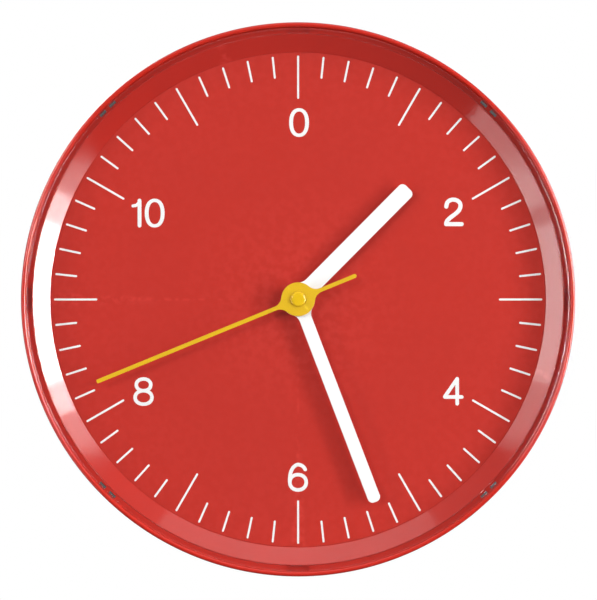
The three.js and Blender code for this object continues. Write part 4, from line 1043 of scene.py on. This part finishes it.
hand_white = finish(
    "hand_white", (0.93, 0.93, 0.92), (0.92, 0.92, 0.91), 0.34, 0.42, flow=40, peel=3200, bump=0.03, dust=0.02,
    wear=(0.93, 0.93, 0.92),
)
hand_yellow = finish(
    "hand_yellow", (0.76, 0.46, 0.002), (0.73, 0.44, 0.002), 0.3, 0.38, flow=40, peel=3200, bump=0.03,
    dust=0.02, wear=(0.86, 0.58, 0.02),
)
for name, half, reach, corner, tail, bore, degrees, material, body, slot, edge in (
    ("hour_hand", 4.025, 75.1, 2.4, 0, 2.6, 44.75, hand_white, "hour_hand_group", "white_hand", 0.07),
    ("minute_hand", 3.035, 103.8, 2.4, 0, 1.6, 159.07, hand_white, "minute_hand_group", "white_hand", 0.07),
    ("second_hand", 0.965, 104.1, 0.4825, 30.2, 0.6, 247.7, hand_yellow, "second_hand_group",
     "yellow_plastic", 0.08),
):
    low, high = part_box(name)
    loops = hand_outline(half, reach, corner, tail, bore, degrees)
    piece(name + "_plate", slab(loops, low[1], high[1], edge * MM), material, body, [name])

cap_low, cap_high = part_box("second_hand_cap")
cap_radius = cap_high[0]
cap_profile = [(0.0, cap_low[1]), (1.2 * MM, cap_low[1] + 0.004 * MM)]
cap_profile += [
    (2.3 * MM + (cap_radius - 2.3 * MM) * math.sin(math.radians(a)),
     cap_low[1] + 0.02 * MM + 0.72 * MM * (1 - math.cos(math.radians(a))))
    for a in range(0, 91, 9)
]
cap_profile += [(cap_radius, cap_high[1]), (0.0, cap_high[1])]
cap_yellow = finish(
    "cap_yellow", (0.80, 0.50, 0.004), (0.78, 0.485, 0.004), 0.16, 0.2, flow=90, peel=2400, bump=0.02, dust=0.02
)
piece(
    "second_hand_button", turned(cap_profile, cap_yellow, 96), cap_yellow, "second_hand_group",
    ["second_hand_cap"],
)


# ---------- Lens ----------
# A clear moulded styrene window with a short skirt. Four pairs of clips hook behind the case's ledge
# and four tabs centre it.

clear, clear_tree, clear_shader = new_material("clear_styrene")
clear_shader.inputs["Base Color"].default_value = (1, 1, 1, 1)
clear_shader.inputs["Transmission Weight"].default_value = 1.0
clear_shader.inputs["IOR"].default_value = 1.49
clear_shader.inputs["Roughness"].default_value = 0.0
clear_wave = put(
    clear_tree, "ShaderNodeTexNoise", Vector=put(clear_tree, "ShaderNodeTexCoord").outputs["Object"],
    Scale=25.0, Detail=1.0,
)
clear_relief = put(
    clear_tree, "ShaderNodeBump", Strength=0.01, Distance=0.0002, Height=clear_wave.outputs[0]
)
clear_tree.links.new(clear_relief.outputs[0], clear_shader.inputs["Normal"])
clear_path = put(clear_tree, "ShaderNodeLightPath")
# Rays from lamps, from matt faces and from glossy ones go straight through the thin window, and only
# what is seen through it or mirrored inside it bends.
clear_bounce = math_node(
    clear_tree, "SUBTRACT", clear_path.outputs["Is Glossy Ray"], clear_path.outputs["Is Singular Ray"]
)
clear_pass = math_node(
    clear_tree, "MAXIMUM", clear_bounce,
    math_node(
        clear_tree, "MAXIMUM", clear_path.outputs["Is Shadow Ray"], clear_path.outputs["Is Diffuse Ray"]
    ),
)
clear_straight = put(clear_tree, "ShaderNodeBsdfTransparent", Color=(0.94, 0.94, 0.94, 1))
clear_mix = put(
    clear_tree, "ShaderNodeMixShader", i0=clear_pass, i1=clear_shader.outputs[0], i2=clear_straight.outputs[0]
)
clear_tree.links.new(clear_mix.outputs[0], clear_tree.nodes["Material Output"].inputs["Surface"])

lens_radius = lens_high[0] / MM
lens_front = (lens_low[1] - case_front) / MM
lens_thickness, skirt_thickness = 1.8, 2.7
lens_inside, skirt_back = lens_front + lens_thickness, ledge - 0.3
skirt_in = lens_radius - skirt_thickness
window = turned(
    [
        (r * MM, depth(d)) for r, d in [
            (0.0, lens_front), (flat_middle, lens_front), (lens_radius - 1.2, lens_front),
            *arc(lens_radius - 1.0, lens_front + 1.0, 1.0, -90, 0, 8),
            (lens_radius, skirt_back - 0.15), (lens_radius - 0.15, skirt_back),
            (skirt_in + 0.15, skirt_back), (skirt_in, skirt_back - 0.15),
            *arc(skirt_in - 0.2, lens_inside + 0.2, 0.2, 0, -90, 3), (skirt_in - 0.4, lens_inside),
            (skirt_in - 0.8, lens_inside), (flat_middle, lens_inside), (0.0, lens_inside),
        ]
    ],
    clear, 360,
)
clip_outer = lens_radius - 0.05
clip_inner = clip_outer - 1.4
hook_front, hook_back = ledge_back + 0.3, ledge_back + 1.8
clip_side = [
    (clip_inner, skirt_back - 0.5), (clip_outer, skirt_back - 0.5), (clip_outer, hook_back),
    (clip_inner, hook_back), (clip_inner - 0.7, hook_front + 0.3), (clip_inner - 0.7, hook_front),
    (clip_inner, hook_front),
]
clips = [extruded(clip_side, centre - 1.6, centre + 1.6) for centre in (-clip_spread, clip_spread)]
tab_inner = (skirt_in + lens_radius - 1.5) / 2
tab = box_mesh(
    (tab_inner * MM, depth(skirt_back - 0.5), -4.9 * MM),
    ((tab_inner + 1.5) * MM, depth(ledge + 0.7), 4.9 * MM),
)
window = combined(
    window, [round_axis(joined(clips), 4, 45, clear), round_axis(tab, 4, 0, clear)], "UNION"
)
piece("lens_window", closed(window), clear, "case", ["lens"])


# ---------- Movement housing and cover ----------
# A black ABS box with a bay for one cell and a cover that closes the gear side. Both are moulded with
# softened edges, and the cover carries a shallow pad of raised bars to grip.

black_abs = finish(
    "movement_black", (0.020, 0.020, 0.022), (0.028, 0.028, 0.030), 0.42, 0.55, flow=50, peel=2200, bump=0.16,
    dust=0.35, wear=(0.07, 0.07, 0.072),
)


def softened(name, offset):
    """A copy of a CAD node's shape with its facets merged and its corners rounded."""
    shape = bmesh.new()
    shape.from_mesh(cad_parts[name].data)
    bmesh.ops.remove_doubles(shape, verts=shape.verts, dist=2e-6)
    bmesh.ops.dissolve_limit(
        shape, angle_limit=math.radians(1), verts=shape.verts, edges=shape.edges, delimit={"NORMAL"}
    )
    corners = [
        e for e in shape.edges
        if len(e.link_faces) == 2 and e.is_convex and e.calc_face_angle(0.0) > math.radians(40)
        and e.calc_length() > 3 * offset
    ]
    bmesh.ops.bevel(
        shape, geom=corners, offset=offset, segments=2, profile=0.5, affect="EDGES", clamp_overlap=True
    )
    return baked(shape)


piece(
    "movement_box", softened("movement_housing", 0.25 * MM), black_abs, "case",
    ["movement_housing"],
)
cover_low, cover_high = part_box("movement_cover")
knob_centre = Vector([(a + b) / 2 for a, b in zip(*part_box("setting_knob"))])
cover_loops = [
    rounded_rectangle(cover_low[0], cover_high[0], cover_low[2], cover_high[2], 1.5 * MM),
    circle(1.8 * MM, knob_centre.x, knob_centre.z)[::-1],
]
piece(
    "movement_lid", slab(cover_loops, cover_low[1], cover_high[1], 0.2 * MM), black_abs, "case",
    ["movement_cover"],
)

# A row of equal bars with rounded ends, side by side along X.
barring, barring_in, barring_out = geometry_tree(
    "Grip bars",
    {"Count": "int", "Pitch": "float", "X": "float", "Y": "float", "Z": "float", "Material": "material"},
)
bar_number = put(barring, "GeometryNodeInputIndex").outputs[0]
bar_spot = put(
    barring, "ShaderNodeCombineXYZ",
    X=math_node(
        barring, "ADD", barring_in.outputs["X"],
        math_node(barring, "MULTIPLY", bar_number, barring_in.outputs["Pitch"]),
    ),
    Y=barring_in.outputs["Y"], Z=barring_in.outputs["Z"],
)
bar_points = put(
    barring, "GeometryNodePoints", Count=barring_in.outputs["Count"], Position=bar_spot.outputs[0]
)
bars = put(
    barring, "GeometryNodeInstanceOnPoints", Points=bar_points.outputs[0],
    Instance=barring_in.outputs["Geometry"],
)
finish_tree(barring, bars.outputs[0], barring_in, barring_out)
grip_bar = box_mesh((-0.4 * MM, -0.2 * MM, -4.0 * MM), (0.4 * MM, 0.35 * MM, 4.0 * MM), 0.15 * MM)
grip = grown(
    grip_bar, barring,
    {"Count": 8, "Pitch": 1.6 * MM, "X": 9.0 * MM, "Y": cover_high[1], "Z": 6.0 * MM, "Material": black_abs},
)
piece("lid_grip", grip, black_abs, "case")


# ---------- Setting knob ----------
# A small black wheel on the back that turns the minute wheel. Its rim is ribbed for a fingertip, and a
# raised bar crosses its face.

knob_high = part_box("setting_knob")[1]
knob_radius = 4.5 * MM
knob_front = knob_high[1] - 1.3 * MM
rib_rod = turned(
    [
        (0.0, knob_front + 0.1 * MM), (0.18 * MM, knob_front + 0.1 * MM), (0.24 * MM, knob_front + 0.2 * MM),
        (0.24 * MM, knob_high[1] - 0.25 * MM), (0.15 * MM, knob_high[1] - 0.1 * MM),
        (0.0, knob_high[1] - 0.1 * MM),
    ],
    black_abs, 10, (knob_radius, 0.0),
)
knob_ribs = round_axis(rib_rod, 36, 0, black_abs)
knob_face = turned(
    [
        (3.2 * MM, knob_high[1] - 0.1 * MM), (3.25 * MM, knob_high[1] + 0.12 * MM),
        (3.35 * MM, knob_high[1] + 0.18 * MM), (3.75 * MM, knob_high[1] + 0.18 * MM),
        (3.85 * MM, knob_high[1] + 0.12 * MM), (3.9 * MM, knob_high[1] - 0.1 * MM),
        (3.2 * MM, knob_high[1] - 0.1 * MM),
    ],
    black_abs, 64,
)
knob_bar = box_mesh(
    (-0.45 * MM, knob_high[1] - 0.1 * MM, -2.9 * MM), (0.45 * MM, knob_high[1] + 0.25 * MM, 2.9 * MM),
    0.12 * MM,
)
knob_mesh = joined([knob_ribs, knob_face, knob_bar])
knob_mesh.transform(Matrix.Translation((knob_centre.x, 0.0, knob_centre.z)))
piece("knob_grip", knob_mesh, black_abs, "knob_group")
paint(black_abs, "setting_knob")


# ---------- Cell and its contacts ----------
# One AA cell: a steel can in a printed sleeve, with a bare button at one end and a bare base at the
# other. Leaves of plated spring steel touch both ends.

cell_low, cell_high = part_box("battery_cell")
cell_y, cell_z = (cell_low[1] + cell_high[1]) / 2, (cell_low[2] + cell_high[2]) / 2
cell_radius = (cell_high[2] - cell_low[2]) / 2 / MM
cell_half = cell_high[0] / MM
base, button = -cell_half, cell_half
cell_profile = [
    (0.0, base), (4.6, base), (4.8, base + 0.15), (5.2, base + 0.35), (6.6, base + 0.35), (6.95, base + 0.15),
    (7.1, base + 0.2), (cell_radius, base + 0.45), (cell_radius, -10.0), (cell_radius, 5.0),
    (cell_radius, 19.0), (cell_radius, button - 1.5), (cell_radius - 0.12, button - 1.2),
    (cell_radius - 0.6, button - 1.05), (6.0, button - 1.15), (5.6, button - 1.45), (3.4, button - 1.45),
    (3.0, button - 1.3), (2.75, button - 1.0), (2.75, button - 0.3), (2.55, button - 0.08), (2.3, button),
    (0.0, button),
]
cell_paint, cell_tree, cell_shader = new_material("cell_sleeve")
cell_own = put(cell_tree, "ShaderNodeTexCoord")
cell_split = put(cell_tree, "ShaderNodeSeparateXYZ", i0=cell_own.outputs["Object"])
cell_bands = put(
    cell_tree, "ShaderNodeValToRGB",
    Fac=put(
        cell_tree, "ShaderNodeMapRange", Value=cell_split.outputs["X"], From_Min=cell_low[0],
        From_Max=cell_high[0],
    ).outputs[0],
)
cell_bands.color_ramp.interpolation = "CONSTANT"
for at, colour in (
    (0.0, (0.62, 0.62, 0.63, 1)), (0.012, (0.10, 0.12, 0.15, 1)), (0.66, (0.72, 0.74, 0.76, 1)),
    (0.69, (0.02, 0.16, 0.34, 1)), (0.955, (0.72, 0.74, 0.76, 1)),
):
    stop = cell_bands.color_ramp.elements.new(at) if at else cell_bands.color_ramp.elements[0]
    stop.color = colour
cell_bands.color_ramp.elements.remove(cell_bands.color_ramp.elements[-1])
cell_scratch_place = put(cell_tree, "ShaderNodeMapping", Vector=cell_own.outputs["Object"])
cell_scratch_place.inputs["Scale"].default_value = (1.0, 9.0, 9.0)
cell_scratch = put(
    cell_tree, "ShaderNodeTexNoise", Vector=cell_scratch_place.outputs[0], Scale=160.0, Detail=3.0
)
cell_rough = put(cell_tree, "ShaderNodeMapRange", Value=cell_scratch.outputs[0], To_Min=0.2, To_Max=0.4)
feed(
    cell_tree, cell_shader, cell_bands.outputs[0], cell_rough.outputs[0], cell_scratch.outputs[0], 0.04,
    0.1 * MM,
)
cell_shader.inputs["Metallic"].default_value = 0.75
cell = turned([(r * MM, x * MM) for r, x in cell_profile], cell_paint, 96)
cell.transform(Matrix.Translation((0.0, cell_y, cell_z)) @ Matrix.Rotation(-math.pi / 2, 4, "Z"))
piece("cell", cell, cell_paint, "battery_group", ["battery_cell"])

spring_steel = plated("contact_steel", (0.66, 0.66, 0.64), 0.18, 0.4, (8.0, 1.0, 1.0))
paint(spring_steel, "positive_contact", "negative_contact")


# ---------- Wheels, plates, motor and circuit ----------
# Inside the housing: acetal wheels and plates, a ferrite rotor magnet in a soft-iron stator, a copper
# coil on a bobbin, and a small board with a quartz crystal can and a moulded chip.

acetal = finish(
    "acetal", (0.72, 0.70, 0.62), (0.68, 0.65, 0.56), 0.38, 0.5, flow=70, peel=2600, bump=0.06, dust=0.02,
    Subsurface_Weight=0.15, Subsurface_Scale=0.001,
)
paint(
    acetal, "middle_plate", "train_bridge", "centre_wheel", "hour_wheel", "minute_wheel", "third_wheel",
    "second_wheel", "intermediate_wheel", "rotor_pinion", "coil_bobbin",
)
soft_iron = plated("soft_iron", (0.34, 0.34, 0.35), 0.35, 0.6, (1.0, 1.0, 6.0), 300.0, 0.08)
paint(soft_iron, "stator", "coil_core")
ferrite = plated("ferrite", (0.06, 0.06, 0.065), 0.45, 0.7, (1.0, 1.0, 1.0), 900.0, 0.15, 0.3)
paint(ferrite, "rotor_magnet")
paint(zinc, "quartz_crystal")
chip_black = finish(
    "chip_epoxy", (0.015, 0.015, 0.016), (0.025, 0.025, 0.026), 0.55, 0.7, flow=200, peel=4000, bump=0.2,
    dust=0.0,
)
paint(chip_black, "control_chip")

winding, winding_tree, winding_shader = new_material("enamelled_wire")
turns = put(
    winding_tree, "ShaderNodeTexWave", {"wave_type": "BANDS", "bands_direction": "X"},
    Vector=put(winding_tree, "ShaderNodeTexCoord").outputs["Object"], Scale=1900.0, Distortion=0.6,
    Detail=1.0,
)
# The copper colour is painted darker in the grooves between turns and lighter on their crests: painted shade
# and painted highlight over the wire's own copper colour.
copper_with_turn_shade = put(
    winding_tree, "ShaderNodeMix", {"data_type": "RGBA"}, i0=turns.outputs[1],
    i6=(0.28, 0.07, 0.02, 1), i7=(0.72, 0.27, 0.09, 1),
)
winding_relief = put(
    winding_tree, "ShaderNodeBump", Strength=0.5, Distance=0.1 * MM, Height=turns.outputs[1]
)
winding_tree.links.new(copper_with_turn_shade.outputs[2], winding_shader.inputs["Base Color"])
winding_tree.links.new(winding_relief.outputs[0], winding_shader.inputs["Normal"])
winding_shader.inputs["Metallic"].default_value = 0.9
winding_shader.inputs["Roughness"].default_value = 0.3
paint(winding, "coil_winding")

board, board_tree, board_shader = new_material("circuit_board")
board_place = put(board_tree, "ShaderNodeTexCoord").outputs["Object"]
tracks = put(
    board_tree, "ShaderNodeTexBrick", Vector=board_place, Scale=260.0, Mortar_Size=0.12, Row_Height=0.5,
    Brick_Width=1.6, Color1=(0.010, 0.13, 0.035, 1), Color2=(0.014, 0.16, 0.045, 1),
    Mortar=(0.03, 0.24, 0.08, 1),
)
weave = put(board_tree, "ShaderNodeTexNoise", Vector=board_place, Scale=1500.0, Detail=2.0)
board_rough = put(board_tree, "ShaderNodeMapRange", Value=weave.outputs[0], To_Min=0.25, To_Max=0.45)
feed(
    board_tree, board_shader, tracks.outputs["Color"], board_rough.outputs[0], tracks.outputs["Fac"], 0.2,
    0.1 * MM,
)
paint(board, "circuit_board")


# ---------- Last update --------
# The view layer is brought up to date once more.

bpy.context.view_layer.update()
